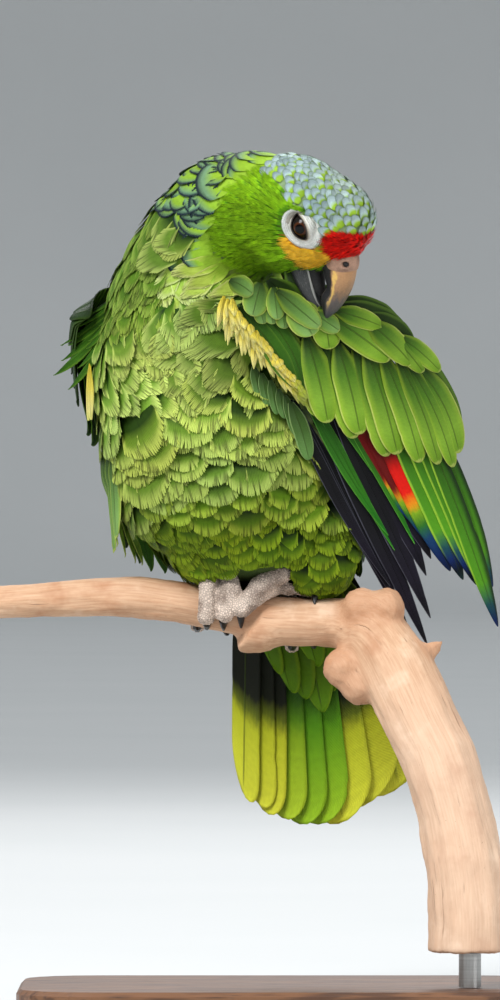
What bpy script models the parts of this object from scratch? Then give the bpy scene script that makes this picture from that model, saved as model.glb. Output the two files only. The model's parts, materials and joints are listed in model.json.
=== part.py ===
"""A life-size red-lored amazon, preening its left wing on a cut length of branch over a plain display stand.

The bird faces -Y, its left side is at +X, and +Z is up. The origin is on the underside of the stand's base.
Lengths are written in millimetres and turned into metres where a mesh is made.
The flesh is modelled whole from overlapping masses and parted with thin cuts; every feather fan is a shell.
"""

import math

import bmesh
import bpy
from mathutils import Matrix, Vector

MM = 0.001
GAP = 0.4  # clearance between neighbouring solids

# --- driving dimensions -------------------------------------------------------------------------------------
BASE_SIZE = Vector((240, 164, 12))
BASE_CENTRE = Vector((16, -4, 6))
BASE_CORNER = 34
ROD_RADIUS = 5
LIMB_FOOT = Vector((98, -44, 27))

# The head turns to the bird's left, bows and rolls its crown forwards. Its origin is midway between the eyes.
HEAD_CENTRE = Vector((29.5, -49, 354.5))
HEAD_BOW, HEAD_TURN, HEAD_ROLL = math.radians(37), math.radians(11), math.radians(24)
EYE_RADIUS = 5.6
EYE_SIDE = 15.6

# Masses of the flesh and its coat, as (centre, radii).
TRUNK_MASSES = (
    ((-26, -6, 288), (47, 48, 50)),
    ((-23, 2, 316), (44, 44, 38)),
    ((-20, -5, 266), (49, 47, 48)),
    ((-13, -4, 244), (51, 45, 43)),
    ((0, 2, 222), (46, 36, 33)),
    ((14, 12, 232), (38, 33, 30)),
    ((23, 19, 214), (30, 23, 28)),
)
NECK_MASSES = (
    ((-20, -4, 334), (38, 39, 30)),
    ((-17, -12, 347), (32, 34, 29)),
    ((-10, -24, 359), (29, 28, 27)),
    ((4, -34, 360.5), (27, 26, 25.5)),
)
# Head masses are in the head's own axes: forwards, up, right.
HEAD_MASSES = (
    ((-8, 1.5, 0), (29, 22.6, 20.5)),
    ((8, 6.5, 0), (19.5, 18.5, 16.5)),
    ((3, -7, 0), (18, 17, 16.5)),
    ((-6, -17, 1), (16, 18, 15)),
)
NECK_CUT = (Vector((-16, -10, 334)), Vector((0.10, -0.22, 1)))
HEAD_CUT = (Vector((7, -34, 360)), Vector((0.90, -0.30, -0.10)))
RUMP_CUT = (Vector((10, 10, 212)), Vector((-0.32, -0.35, 1)))
THIGHS = {
    "thigh_left": ((31, -4, 208), (20, 19, 22)),
    "thigh_right": ((-18, -7, 211), (21, 18, 19)),
}
# The folded right wing lies outside this ellipsoid, which holds the trunk: centre, long axis and radii.
FLANK_CENTRE, FLANK_AXIS = Vector((-17, 2, 272)), Vector((-0.205, -0.147, 0.968))
FLANK_RADII = Vector((56, 51, 94))

# The left wing hangs half open in front of the flank. Its sheet's depth is worked out from x and z.
WRIST = Vector((-9, -55, 316))
SHEET_TURN, SHEET_LEAN, SHEET_CAMBER = 0.61, 0.10, 5.0
SHEET_MIDDLE, SHEET_HALF = 50, 62

BRANCH = (  # stations of the perch and of the limb that bends down to the stand: x, y, z, radius
    (-123, 7, 183, 7.0),
    (-100, 6, 184, 8.0),
    (-76, 4, 185.5, 8.8),
    (-54, 2, 186, 9.5),
    (-32, 0, 183.5, 9.6),
    (-18, 0, 181, 9.6),
    (-6, -1, 178.5, 9.8),
    (8, -2, 176, 10.4),
    (26, -3, 175, 10.6),
    (42, -6, 174, 12.0),
    (55, -12, 170, 15.8),
    (65, -20, 155, 17.0),
    (75, -28, 134, 17.2),
    (84, -34, 115, 17.2),
    (91.5, -39, 90, 17.2),
    (96, -43, 66, 17.8),
    (98, -44, 45, 18.8),
    (98, -44, 27, 19.4),
)
BRANCH_KNOBS = (
    ((50, -16, 181), (9.5, 10, 9.5)),
    ((61, -17, 181), (8.5, 10, 9.5)),
    ((42, -18, 154), (9.5, 9, 9.5)),
    ((49, -19, 146), (9, 9, 8.5)),
    ((76, -21, 160), (7, 5, 5)),
    ((81, -20.5, 163), (5, 3.8, 3.4)),
    ((84.5, -20, 165.5), (2.6, 2.4, 2.4)),
)
# A torn-off second stem lies along the front of the perch and ends in this slanting face.
SNAG = ((-6, -6.5, 170.5, 9.6), (4, -7, 171, 10.4), (13, -6.5, 173.5, 9.8), (34, -7, 174.5, 10.6))
SNAG_FACE = (Vector((2.5, 0, 177)), Vector((0.80, 0.12, -0.59)))
TOE_RADIUS, TOE_TIP_RADIUS = 3.9, 3.3
CLAW_TIP_RADIUS = 0.55

TAIL_ROOT_Y, TAIL_TIP_Y = 20, 31

COLOURS = {
    "plumage_green": (0.20, 0.32, 0.05, 1),
    "crown_blue": (0.42, 0.52, 0.55, 1),
    "flight_green": (0.10, 0.26, 0.03, 1),
    "covert_green": (0.18, 0.34, 0.08, 1),
    "primary_dark": (0.03, 0.04, 0.05, 1),
    "edge_yellow": (0.75, 0.70, 0.20, 1),
    "tail_yellow_green": (0.33, 0.38, 0.04, 1),
    "eye_dark": (0.02, 0.012, 0.008, 1),
    "bill_horn": (0.30, 0.20, 0.12, 1),
    "bill_dark": (0.03, 0.03, 0.035, 1),
    "cere_flesh": (0.35, 0.17, 0.13, 1),
    "foot_grey": (0.25, 0.22, 0.21, 1),
    "claw_black": (0.02, 0.02, 0.025, 1),
    "bare_wood": (0.62, 0.40, 0.24, 1),
    "stand_wood": (0.10, 0.07, 0.05, 1),
    "stand_steel": (0.45, 0.45, 0.46, 1),
}
ROUGHNESS = {"eye_dark": 0.1, "bill_horn": 0.4, "bill_dark": 0.4, "claw_black": 0.4, "stand_steel": 0.3}


# --- frames and curves --------------------------------------------------------------------------------------
def head_axes():
    """The head's forwards, up and right directions, as columns of a matrix."""
    forwards = Vector(
        (
            math.cos(HEAD_BOW) * math.cos(HEAD_TURN),
            -math.sin(HEAD_TURN),
            -math.sin(HEAD_BOW) * math.cos(HEAD_TURN),
        )
    )
    level_up = Vector((math.sin(HEAD_BOW), 0, math.cos(HEAD_BOW)))
    level_right = forwards.cross(level_up)
    up = level_up * math.cos(HEAD_ROLL) + level_right * math.sin(HEAD_ROLL)
    return Matrix((forwards, up, forwards.cross(up))).transposed()


def in_head(forwards, up, right):
    """A point of the head's own axes, in the bird's frame, in millimetres."""
    return HEAD_CENTRE + head_axes() @ Vector((forwards, up, right))


def bend(start, middle, end, share):
    """A point of the curve from start to end that middle pulls towards itself."""
    start, middle, end = Vector(start), Vector(middle), Vector(end)
    return start * (1 - share) ** 2 + middle * 2 * share * (1 - share) + end * share**2


def along(stations, x):
    """The branch's centre and radius where it passes x, between its stations."""
    for before, after in zip(stations, stations[1:]):
        if before[0] <= x <= after[0]:
            share = (x - before[0]) / (after[0] - before[0])
            mixed = [a + (b - a) * share for a, b in zip(before, after)]
            return Vector(mixed[:3]), mixed[3]
    raise ValueError(f"the branch doesn't pass x = {x}")


def sheet_depth(x, z):
    """How deep the left wing's sheet lies at x and z: it turns away from the wrist and bulges forwards."""
    flat = WRIST.y + SHEET_TURN * (x - WRIST.x) + SHEET_LEAN * (WRIST.z - z)
    return flat - SHEET_CAMBER * (1 - ((x - SHEET_MIDDLE) / SHEET_HALF) ** 2)


# --- objects ------------------------------------------------------------------------------------------------
def clear_scene():
    for old in list(bpy.data.objects):
        bpy.data.objects.remove(old)


def new_collection(name, helper=False):
    made = bpy.data.collections.new(name)
    made.hide_render = helper
    bpy.context.scene.collection.children.link(made)
    return made


def material(name):
    """One plain finish, made the first time that it is asked for."""
    found = bpy.data.materials.get(name)
    if found is None:
        found = bpy.data.materials.new(name)
        found.use_nodes = True
        shader = found.node_tree.nodes["Principled BSDF"]
        shader.inputs["Base Color"].default_value = COLOURS[name]
        shader.inputs["Roughness"].default_value = ROUGHNESS.get(name, 0.6)
        shader.inputs["Metallic"].default_value = 1.0 if name == "stand_steel" else 0.0
    return found


def add(name, mesh, finish, collection=None):
    """An object of this mesh in the part's collection, with its finish."""
    made = bpy.data.objects.new(name, mesh)
    (collection or bpy.data.collections["amazon"]).objects.link(made)
    mesh.materials.clear()
    mesh.materials.append(material(finish))
    return made


def add_from(name, bm, finish, collection=None):
    """The same, from a bmesh in millimetres, shaded smooth with its creases kept."""
    bmesh.ops.scale(bm, vec=(MM, MM, MM), verts=bm.verts)
    mesh = bpy.data.meshes.new(name)
    bm.to_mesh(mesh)
    bm.free()
    mesh.shade_smooth()
    mesh.set_sharp_from_angle(angle=math.radians(50))
    return add(name, mesh, finish, collection)


def evaluated_mesh(obj):
    """The object's mesh with its modifiers, in world space."""
    graph = bpy.context.evaluated_depsgraph_get()
    mesh = bpy.data.meshes.new_from_object(obj.evaluated_get(graph), depsgraph=graph)
    mesh.transform(obj.matrix_world)
    return mesh


def baked(obj):
    """The object with its modifiers turned into its mesh."""
    bpy.context.view_layer.update()
    mesh = evaluated_mesh(obj)
    obj.modifiers.clear()
    obj.data = mesh
    return obj


def removed(*helpers):
    for helper in helpers:
        bpy.data.objects.remove(helper)


def boolean(obj, other, operation):
    """Joins or cuts obj with other, at once."""
    step = obj.modifiers.new(operation.lower(), "BOOLEAN")
    step.operation = operation
    step.solver = "EXACT"
    step.object = other
    return baked(obj)


def grown(obj, by=GAP):
    """A hidden copy of obj that stands out from it on every side, to cut its neighbours with."""
    copy = bpy.data.objects.new("cutter", obj.data.copy())
    bpy.data.collections["cutters"].objects.link(copy)
    copy.hide_render = True
    copy.display_type = "WIRE"
    swell = copy.modifiers.new("swell", "DISPLACE")
    swell.strength = by * MM
    swell.mid_level = 0
    return baked(copy)


def cut_clear(obj, *others):
    """Cuts each of the others, grown by the gap, out of obj."""
    for other in others:
        cutter = grown(other)
        boolean(obj, cutter, "DIFFERENCE")
        removed(cutter)
    return obj


# --- soft masses --------------------------------------------------------------------------------------------
def add_ellipsoid(bm, centre, radii, axes=None, rings=12):
    """Adds a stretched sphere to bm, in millimetres, along the given axes."""
    turn = axes.to_4x4() if axes else Matrix.Identity(4)
    size = Matrix.Diagonal((*radii, 1))
    place = Matrix.Translation(Vector(centre)) @ turn @ size
    bmesh.ops.create_uvsphere(bm, u_segments=2 * rings, v_segments=rings, radius=1, matrix=place)


def fused(name, bm, finish, voxel, smoothing, triangles):
    """The shapes in bm, which overlap, as one smooth closed skin of about that many triangles."""
    obj = add_from(name, bm, finish)
    melt = obj.modifiers.new("melt", "REMESH")
    melt.mode = "VOXEL"
    melt.voxel_size = voxel * MM
    baked(obj)
    soften = obj.modifiers.new("soften", "SMOOTH")
    soften.factor = 0.5
    soften.iterations = smoothing
    baked(obj)
    thin = obj.modifiers.new("thin", "DECIMATE")
    thin.ratio = min(1.0, triangles / (2 * len(obj.data.polygons)))
    thin.use_collapse_triangulate = True
    return baked(obj)


def half(name, obj, plane, side, finish):
    """The part of obj on one side of a plane, closed there, and back from the cut by half the gap."""
    point, normal = plane[0], plane[1].normalized() * side
    bm = bmesh.new()
    bm.from_mesh(obj.data)
    bmesh.ops.bisect_plane(
        bm,
        geom=[*bm.verts, *bm.edges, *bm.faces],
        plane_co=(point + normal * GAP / 2) * MM,
        plane_no=normal,
        clear_inner=True,
    )
    bmesh.ops.holes_fill(bm, edges=[e for e in bm.edges if e.is_boundary], sides=0)
    bmesh.ops.triangulate(bm, faces=bm.faces)
    mesh = bpy.data.meshes.new(name)
    bm.to_mesh(mesh)
    bm.free()
    mesh.shade_smooth()
    mesh.set_sharp_from_angle(angle=math.radians(50))
    return add(name, mesh, finish)


def build_flesh():
    """Trunk, rump, neck and head: one smooth body, parted at the neck, the nape and the rump."""
    bm = bmesh.new()
    for centre, radii in TRUNK_MASSES + NECK_MASSES:
        add_ellipsoid(bm, centre, radii)
    for centre, radii in HEAD_MASSES:
        add_ellipsoid(bm, in_head(*centre), radii, head_axes())
    whole = fused("whole", bm, "plumage_green", 2.6, 16, 1450)
    below = half("below", whole, NECK_CUT, -1, "plumage_green")
    above = half("above", whole, NECK_CUT, 1, "plumage_green")
    parts = {
        "head": half("head", above, HEAD_CUT, 1, "plumage_green"),
        "neck": half("neck", above, HEAD_CUT, -1, "plumage_green"),
        "trunk": half("trunk", below, RUMP_CUT, 1, "plumage_green"),
        "rump": half("rump", below, RUMP_CUT, -1, "plumage_green"),
    }
    removed(below, above)
    for name, (centre, radii) in THIGHS.items():
        bm = bmesh.new()
        add_ellipsoid(bm, centre, radii, rings=6)
        parts[name] = add_from(name, bm, "plumage_green")
        cut_clear(parts["trunk"], parts[name])
        cut_clear(parts["rump"], parts[name])
    return parts, whole


# --- head details -------------------------------------------------------------------------------------------
def add_loft(bm, rings):
    """Adds a closed skin through rings of equal length, with a fan of faces at each end."""
    made = [[bm.verts.new(point) for point in ring] for ring in rings]
    count = len(made[0])
    for before, after in zip(made, made[1:]):
        for i in range(count):
            j = (i + 1) % count
            bm.faces.new((before[i], before[j], after[j], after[i]))
    for ring, turn in ((made[0], -1), (made[-1], 1)):
        middle = bm.verts.new(sum((v.co for v in ring), Vector()) / count)
        for i in range(count):
            corners = (ring[i], ring[(i + 1) % count], middle)
            bm.faces.new(corners[::turn])
    bmesh.ops.recalc_face_normals(bm, faces=bm.faces)


def horn(name, finish, stations, corners=10, waist=0.4):
    """A horny sheath through stations of (ridge point, edge point, half width), in the head's axes.

    It is widest at waist, as a share of the way from the edge to the ridge.
    """
    bm = bmesh.new()
    rings = []
    for ridge, edge, width in stations:
        ridge, edge = Vector((*ridge, 0)), Vector((*edge, 0))
        middle = edge.lerp(ridge, waist)
        ring = []
        for i in range(corners):
            turn = 2 * math.pi * i / corners
            end = ridge if math.cos(turn) > 0 else edge
            point = middle.lerp(end, abs(math.cos(turn)))
            ring.append(in_head(point.x, point.y, width * math.sin(turn)))
        rings.append(ring)
    add_loft(bm, rings)
    return add_from(name, bm, finish)


def build_head_details(parts):
    """The eyes in their sockets, the cere and the two halves of the bill, slightly open."""
    for name, side in (("eye_right", 1), ("eye_left", -1)):
        bm = bmesh.new()
        add_ellipsoid(bm, in_head(0, 0, side * EYE_SIDE), (EYE_RADIUS,) * 3, rings=6)
        parts[name] = add_from(name, bm, "eye_dark")
        cut_clear(parts["head"], parts[name])
    parts["bill_upper"] = horn(
        "bill_upper",
        "bill_horn",
        (
            ((24.0, -0.5), (12.0, -13.0), 8.2),
            ((28.4, -4.5), (14.8, -15.6), 8.2),
            ((31.8, -10.5), (17.6, -18.8), 7.9),
            ((33.6, -17.0), (20.4, -22.6), 7.2),
            ((33.8, -23.8), (22.8, -26.6), 6.2),
            ((32.6, -30.0), (24.6, -31.0), 4.6),
            ((30.2, -34.6), (27.0, -35.2), 2.0),
        ),
    )
    parts["bill_lower"] = horn(
        "bill_lower",
        "bill_dark",
        (
            ((8.0, -17.0), (1.0, -25.0), 7.2),
            ((12.4, -20.4), (6.6, -29.4), 7.4),
            ((16.0, -24.8), (12.4, -32.8), 6.4),
            ((19.0, -29.4), (18.0, -34.8), 4.8),
            ((21.8, -33.2), (22.2, -35.6), 2.6),
        ),
    )
    parts["cere"] = horn(
        "cere",
        "cere_flesh",
        (
            ((19.0, 5.0), (9.0, -9.5), 8.8),
            ((23.5, 3.0), (12.0, -11.5), 8.8),
            ((27.0, -1.0), (16.0, -10.5), 8.0),
        ),
    )
    cut_clear(parts["head"], parts["cere"], parts["bill_upper"], parts["bill_lower"])
    cut_clear(parts["bill_upper"], parts["cere"])


# --- feather fans -------------------------------------------------------------------------------------------
def fan(name, finish, feathers, root, tip, shape, thickness, notch=0.05, step=0.3, rows=2):
    """A shell of overlapping feathers side by side.

    root and tip give a point for each share across the fan, from 0 to 1. shape lays a point on the wing or
    tail. notch is how far the gap between two feather tips reaches up, as a share of the length, and step is
    how far each feather's edge rises over the next.
    """
    across = 3 * feathers
    bm = bmesh.new()
    bmesh.ops.create_grid(bm, x_segments=across, y_segments=rows, size=0.5)
    for vert in bm.verts:
        share, down = vert.co.x + 0.5, vert.co.y + 0.5
        place = (share * feathers) % 1 if share < 1 else 1.0
        from_middle = abs(2 * place - 1)
        reach = down * (1 - notch * from_middle**3)
        raised = step * (0.5 - place) * min(1, 2 * down)
        vert.co = shape(root(share).lerp(tip(share), reach), raised, down)
    obj = add_from(name, bm, finish)
    shell = obj.modifiers.new("shell", "SOLIDIFY")
    shell.thickness = thickness * MM
    shell.offset = 0
    shell.use_even_offset = False
    baked(obj)
    bm = bmesh.new()
    bm.from_mesh(obj.data)
    bmesh.ops.recalc_face_normals(bm, faces=bm.faces)
    bm.to_mesh(obj.data)
    bm.free()
    return obj


def on_sheet(layer):
    """Lays a point on the left wing's sheet, layer millimetres in front of it."""

    def shape(point, raised, down):
        return Vector((point.x, sheet_depth(point.x, point.z) - layer - raised, point.z))

    return shape


def between(start, middle, end):
    """A curve as a function of the share along it."""
    return lambda share: bend(start, middle, end, share)


def build_left_wing(parts, whole):
    """The half-open left wing: arm and hand, yellow edge, alula, two rows of coverts, secondaries, primaries."""
    fans = (
        # name, finish, feathers, root curve, tip curve, layer, thickness, notch
        (
            "wing_left_primaries", "primary_dark", 8,
            ((16, 0, 271), (14, 0, 287), (11, 0, 301)),
            ((66, 0, 187), (87, 0, 157), (83, 0, 205)),
            0.0, 1.0, 0.06,
        ),
        (
            "wing_left_secondaries", "flight_green", 9,
            ((9, 0, 299), (38, 0, 304), (76, 0, 294)),
            ((84, 0, 213), (103, 0, 193), (112, 0, 173)),
            1.7, 1.0, 0.06,
        ),
        (
            "wing_left_greater_coverts", "covert_green", 9,
            ((8, 0, 304), (40, 0, 304), (72, 0, 300)),
            ((33, 0, 265), (62, 0, 241), (95, 0, 244)),
            3.5, 1.0, 0.10,
        ),
        (
            "wing_left_median_coverts", "covert_green", 7,
            ((-8, 0, 325), (30, 0, 322), (68, 0, 303)),
            ((5, 0, 304), (36, 0, 280), (86, 0, 288)),
            7.0, 1.2, 0.12,
        ),
        (
            "wing_left_alula", "flight_green", 3,
            ((-9, 0, 314), (-6, 0, 317), (-2, 0, 318)),
            ((20, 0, 274), (26, 0, 271), (31, 0, 276)),
            5.2, 1.0, 0.05,
        ),
        (
            "wing_left_edge", "edge_yellow", 2,
            ((-11, 0, 312), (-9, 0, 313), (-7, 0, 314)),
            ((8, 0, 278), (16, 0, 272), (21, 0, 275)),
            3.0, 1.2, 0.08,
        ),
    )
    for name, finish, feathers, root, tip, layer, thickness, notch in fans:
        parts[name] = fan(
            name, finish, feathers, between(*root), between(*tip), on_sheet(layer), thickness, notch
        )
    bm = bmesh.new()
    for step in range(10):  # the forearm and hand, behind the roots of the feathers
        share = step / 9
        place = bend((-4, 0, 313), (28, 0, 315), (60, 0, 302), share)
        place.y = sheet_depth(place.x, place.z) + 6.2
        add_ellipsoid(bm, place, (9, 4.6, 8 - 1.5 * share), rings=8)
    for step in range(5):
        place = Vector((-2, 0, 311)).lerp(Vector((18, 0, 284)), step / 4)
        place.y = sheet_depth(place.x, place.z) + 5.6
        add_ellipsoid(bm, place, (6, 3.8, 7), rings=8)
    for step in range(8):  # the upper arm, from the shoulder to the elbow
        place = Vector((12, -8, 316)).lerp(Vector((62, -1, 302)), step / 7)
        add_ellipsoid(bm, place, (9, 8 - 0.4 * step, 9 - 0.4 * step), rings=8)
    parts["wing_left_arm"] = fused("wing_left_arm", bm, "covert_green", 1.8, 8, 240)
    cut_clear(parts["wing_left_arm"], whole)
    for name in ("wing_left_median_coverts", "wing_left_greater_coverts"):
        cut_clear(parts[name], parts["bill_upper"], parts["bill_lower"])


def beside_body(margin):
    """Lays a point of the right wing outside the flank's ellipsoid, margin millimetres clear of it."""
    along_trunk = FLANK_AXIS.normalized()
    ahead = Vector((0, 1, 0))
    ahead = (ahead - along_trunk * ahead.dot(along_trunk)).normalized()
    axes = Matrix((ahead.cross(along_trunk), ahead, along_trunk)).transposed()
    size = FLANK_RADII + Vector((margin,) * 3)

    def shape(point, raised, down):
        inside = axes.transposed() @ (point - FLANK_CENTRE)
        scaled = Vector([a / b for a, b in zip(inside, size)])
        place = point.copy()
        if scaled.length < 1:
            place = FLANK_CENTRE + axes @ (inside / scaled.length)
        outward = (place - FLANK_CENTRE).normalized()
        return place + outward * raised

    return shape


def build_right_wing(parts, whole):
    """The folded right wing along the bird's right side, its yellow edge in front and its tip behind the tail."""
    fans = (
        (
            "wing_right_primaries", "primary_dark", 6,
            ((-60, 34, 262), (-50, 42, 262), (-38, 50, 262)),
            ((-20, 54, 190), (6, 56, 146), (12, 60, 172)),
            0.4, 1.0, 0.05,
        ),
        (
            "wing_right_secondaries", "flight_green", 8,
            ((-76, 2, 286), (-70, 34, 284), (-36, 54, 280)),
            ((-58, 38, 206), (-38, 65, 184), (-4, 69, 198)),
            3.4, 1.0, 0.06,
        ),
        (
            "wing_right_coverts", "covert_green", 8,
            ((-72, -18, 308), (-68, 26, 338), (-30, 48, 322)),
            ((-78, -4, 250), (-74, 52, 226), (-16, 69, 240)),
            6.8, 1.4, 0.10,
        ),
        (
            "wing_right_edge", "edge_yellow", 2,
            ((-66, -26, 294), (-68, -23, 296), (-70, -20, 297)),
            ((-66, -22, 262), (-68, -19, 258), (-71, -15, 258)),
            4.6, 1.6, 0.04,
        ),
    )
    for name, finish, feathers, root, tip, margin, thickness, notch in fans:
        parts[name] = fan(
            name, finish, feathers, between(*root), between(*tip), beside_body(margin), thickness, notch
        )
        cut_clear(parts[name], whole)


# --- tail ---------------------------------------------------------------------------------------------------
def hanging(depth_root, depth_tip):
    """Hangs a point of a tail fan between two depths, a little hollow across."""

    def shape(point, raised, down):
        hollow = 3.0 * ((point.x - 30) / 40) ** 2 * down
        return Vector((point.x, depth_root + (depth_tip - depth_root) * down + hollow + raised, point.z))

    return shape


def build_tail(parts, whole):
    """The fanned tail and the coverts over and under its root."""
    fans = (
        (
            "tail", "tail_yellow_green", 12,
            ((-10, 0, 196), (18, 0, 200), (46, 0, 198)), ((-5, 0, 100), (24, 0, 63), (73, 0, 102)),
            TAIL_ROOT_Y, TAIL_TIP_Y, 1.2, 0.04,
        ),
        (
            "tail_coverts_under", "plumage_green", 4,
            ((0, 0, 190), (20, 0, 190), (42, 0, 190)), ((12, 0, 150), (32, 0, 116), (52, 0, 142)),
            15.6, 21.5, 2.0, 0.12,
        ),
        (
            "tail_coverts_upper", "plumage_green", 4,
            ((0, 0, 196), (20, 0, 200), (40, 0, 196)), ((4, 0, 150), (28, 0, 130), (56, 0, 150)),
            24.6, 32.4, 2.0, 0.12,
        ),
    )
    for name, finish, feathers, root, tip, depth_root, depth_tip, thickness, notch in fans:
        parts[name] = fan(
            name, finish, feathers, between(*root), between(*tip), hanging(depth_root, depth_tip),
            thickness, notch,
        )
        cut_clear(parts[name], whole)


# --- branch, feet and stand ---------------------------------------------------------------------------------
def tube(name, finish, points, radii, resolution=2):
    """A tapered round bar through points, in millimetres, with closed ends, as a mesh."""
    data = bpy.data.curves.new(name, "CURVE")
    data.dimensions = "3D"
    data.bevel_depth = MM
    data.bevel_resolution = resolution
    data.use_fill_caps = True
    spline = data.splines.new("POLY")
    spline.points.add(len(points) - 1)
    for place, point, radius in zip(spline.points, points, radii):
        place.co = (*(Vector(point) * MM), 1)
        place.radius = radius
    curve = bpy.data.objects.new(name + "_line", data)
    bpy.data.collections["cutters"].objects.link(curve)
    bpy.context.view_layer.update()
    mesh = evaluated_mesh(curve)
    bpy.data.objects.remove(curve)
    bm = bmesh.new()
    bm.from_mesh(mesh)
    bmesh.ops.remove_doubles(bm, verts=bm.verts, dist=0.01 * MM)
    bmesh.ops.recalc_face_normals(bm, faces=bm.faces)
    bm.to_mesh(mesh)
    bm.free()
    mesh.shade_smooth()
    mesh.set_sharp_from_angle(angle=math.radians(60))
    return add(name, mesh, finish)


def add_bar(bm, stations):
    """Adds a round bar through (x, y, z, radius) stations to bm."""
    bar = tube("bar", "bare_wood", [s[:3] for s in stations], [s[3] for s in stations], resolution=4)
    bar.data.transform(Matrix.Scale(1 / MM, 4))
    bm.from_mesh(bar.data)
    removed(bar)


def build_branch(parts):
    """The perch and its limb, with the knots at the bend, sawn off square over the stand."""
    bm = bmesh.new()
    add_bar(bm, SNAG)
    point, normal = SNAG_FACE
    whole = [*bm.verts, *bm.edges, *bm.faces]
    bmesh.ops.bisect_plane(bm, geom=whole, plane_co=point, plane_no=normal, clear_inner=True)
    bmesh.ops.holes_fill(bm, edges=[e for e in bm.edges if e.is_boundary], sides=0)
    add_bar(bm, BRANCH)
    for centre, radii in BRANCH_KNOBS:
        add_ellipsoid(bm, centre, radii, rings=10)
    melted = fused("melted", bm, "bare_wood", 1.6, 2, 660)
    sawn = (LIMB_FOOT + Vector((0, 0, 1)), Vector((0, 0, 1)))
    parts["branch"] = half("branch", melted, sawn, 1, "bare_wood")
    removed(melted)


def wrap(x_start, x_end, start, end, radii, steps):
    """A toe round the branch from one angle to another, 0 being over its top and 90 its front."""
    points, sizes = [], []
    for i in range(steps + 1):
        share = i / steps
        size = radii[0] + (radii[1] - radii[0]) * share
        centre, branch_radius = along(BRANCH, x_start + (x_end - x_start) * share)
        angle = math.radians(start + (end - start) * share)
        reach = branch_radius + size + 1.5 * GAP
        points.append(centre + Vector((0, -math.sin(angle), math.cos(angle))) * reach)
        sizes.append(size)
    return points, sizes


# foot, toe: where its root and tip are along the branch, and the angles that it wraps between
TOES = (
    ("right", "inner_front", -11.9, -11.9, 14, 106),
    ("right", "outer_front", -19.2, -19.4, 14, 120),
    ("right", "inner_back", -12.2, -10.5, -34, -128),
    ("right", "outer_back", -20.8, -23.8, -34, -140),
    ("left", "inner_front", 12.0, -4.0, 12, 86),
    ("left", "outer_front", 22.5, 29.0, 0, 14),
    ("left", "inner_back", 17.0, 19.0, -34, -150),
    ("left", "outer_back", 25.8, 28.8, -34, -130),
)
CLAW_SWEEP = 34


def build_feet(parts, whole):
    """Each foot's palm and shank over the branch, its four toes, two before and two behind, and their claws."""
    flesh = (whole, parts["thigh_left"], parts["thigh_right"])
    for side, foot_x, lean in (("right", -15.8, 0), ("left", 17.5, 2)):
        centre, radius = along(BRANCH, foot_x)
        palm = centre + Vector((0, 0.5, radius + 4.4))
        bm = bmesh.new()
        add_ellipsoid(bm, palm, (7.5, 6.5, 3.7), rings=8)
        for step in range(4):
            add_ellipsoid(bm, palm + Vector((lean, 1, 5)) * step / 2, (4.4, 4.4, 4), rings=8)
        name = f"foot_{side}"
        parts[name] = fused(name, bm, "foot_grey", 1.0, 3, 170)
        cut_clear(parts[name], *flesh)
    for side, toe, root_x, tip_x, start, end in TOES:
        towards = 1 if end > start else -1
        points, sizes = wrap(root_x, tip_x, start, end, (TOE_RADIUS, TOE_TIP_RADIUS), 5)
        name = f"toe_{side}_{toe}"
        parts[name] = tube(name, "foot_grey", points, sizes)
        cut_clear(parts[name], parts[f"foot_{side}"], *flesh)
        begin = end + towards * 4
        points, sizes = wrap(tip_x, tip_x, begin, begin + towards * CLAW_SWEEP, (2.2, CLAW_TIP_RADIUS), 2)
        claw = f"claw_{side}_{toe}"
        parts[claw] = tube(claw, "claw_black", points, sizes, resolution=1)
        cut_clear(parts[claw], parts[name], *flesh)
    cut_clear(parts["branch"], parts["toe_left_inner_front"], parts["claw_left_inner_front"])
    for name in ("claw_left_inner_back", "claw_left_outer_front", "toe_left_outer_front"):
        cut_clear(parts[name], parts["branch"])


def build_stand(parts):
    """The flat base with rounded corners, and the short rod that holds the limb's sawn end."""
    bm = bmesh.new()
    bmesh.ops.create_cube(bm, size=1, matrix=Matrix.Translation(BASE_CENTRE) @ Matrix.Diagonal((*BASE_SIZE, 1)))
    upright = [e for e in bm.edges if abs(e.verts[0].co.z - e.verts[1].co.z) > 1]
    bmesh.ops.bevel(bm, geom=upright, offset=BASE_CORNER, segments=5, affect="EDGES", profile=0.5)
    rim = [e for e in bm.edges if min(v.co.z for v in e.verts) > BASE_SIZE.z - 0.01]
    bmesh.ops.bevel(bm, geom=rim, offset=2, segments=1, affect="EDGES")
    parts["stand_base"] = add_from("stand_base", bm, "stand_wood")
    bm = bmesh.new()
    bottom, top = BASE_SIZE.z + GAP, LIMB_FOOT.z + 1 - GAP
    bmesh.ops.create_cone(
        bm, cap_ends=True, segments=20, radius1=ROD_RADIUS, radius2=ROD_RADIUS, depth=top - bottom,
        matrix=Matrix.Translation((LIMB_FOOT.x, LIMB_FOOT.y, (top + bottom) / 2)),
    )
    parts["stand_rod"] = add_from("stand_rod", bm, "stand_steel")


def main():
    clear_scene()
    new_collection("amazon")
    new_collection("cutters", helper=True)
    parts, whole = build_flesh()
    build_head_details(parts)
    build_left_wing(parts, whole)
    build_right_wing(parts, whole)
    build_tail(parts, whole)
    build_branch(parts)
    build_feet(parts, whole)
    build_stand(parts)
    removed(whole)


main()
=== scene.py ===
"""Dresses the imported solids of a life-size red-lored amazon that preens on a perch over a display stand.

The flesh becomes one skin. Small feathers are vanes instanced over the skin by one node tree, laid along
the lie of the coat and made plain meshes. Flight feathers, tail feathers and coverts are shaped one by one.
Lengths are in millimetres here and become metres where a mesh is made.
"""

from __future__ import annotations

import json
import logging
import math
from contextlib import contextmanager
from dataclasses import dataclass, field
from enum import Enum
from typing import Callable, Iterator, Sequence

import bmesh
import bpy
import numpy as np
from mathutils import Matrix, Vector
from mathutils.bvhtree import BVHTree

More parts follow.
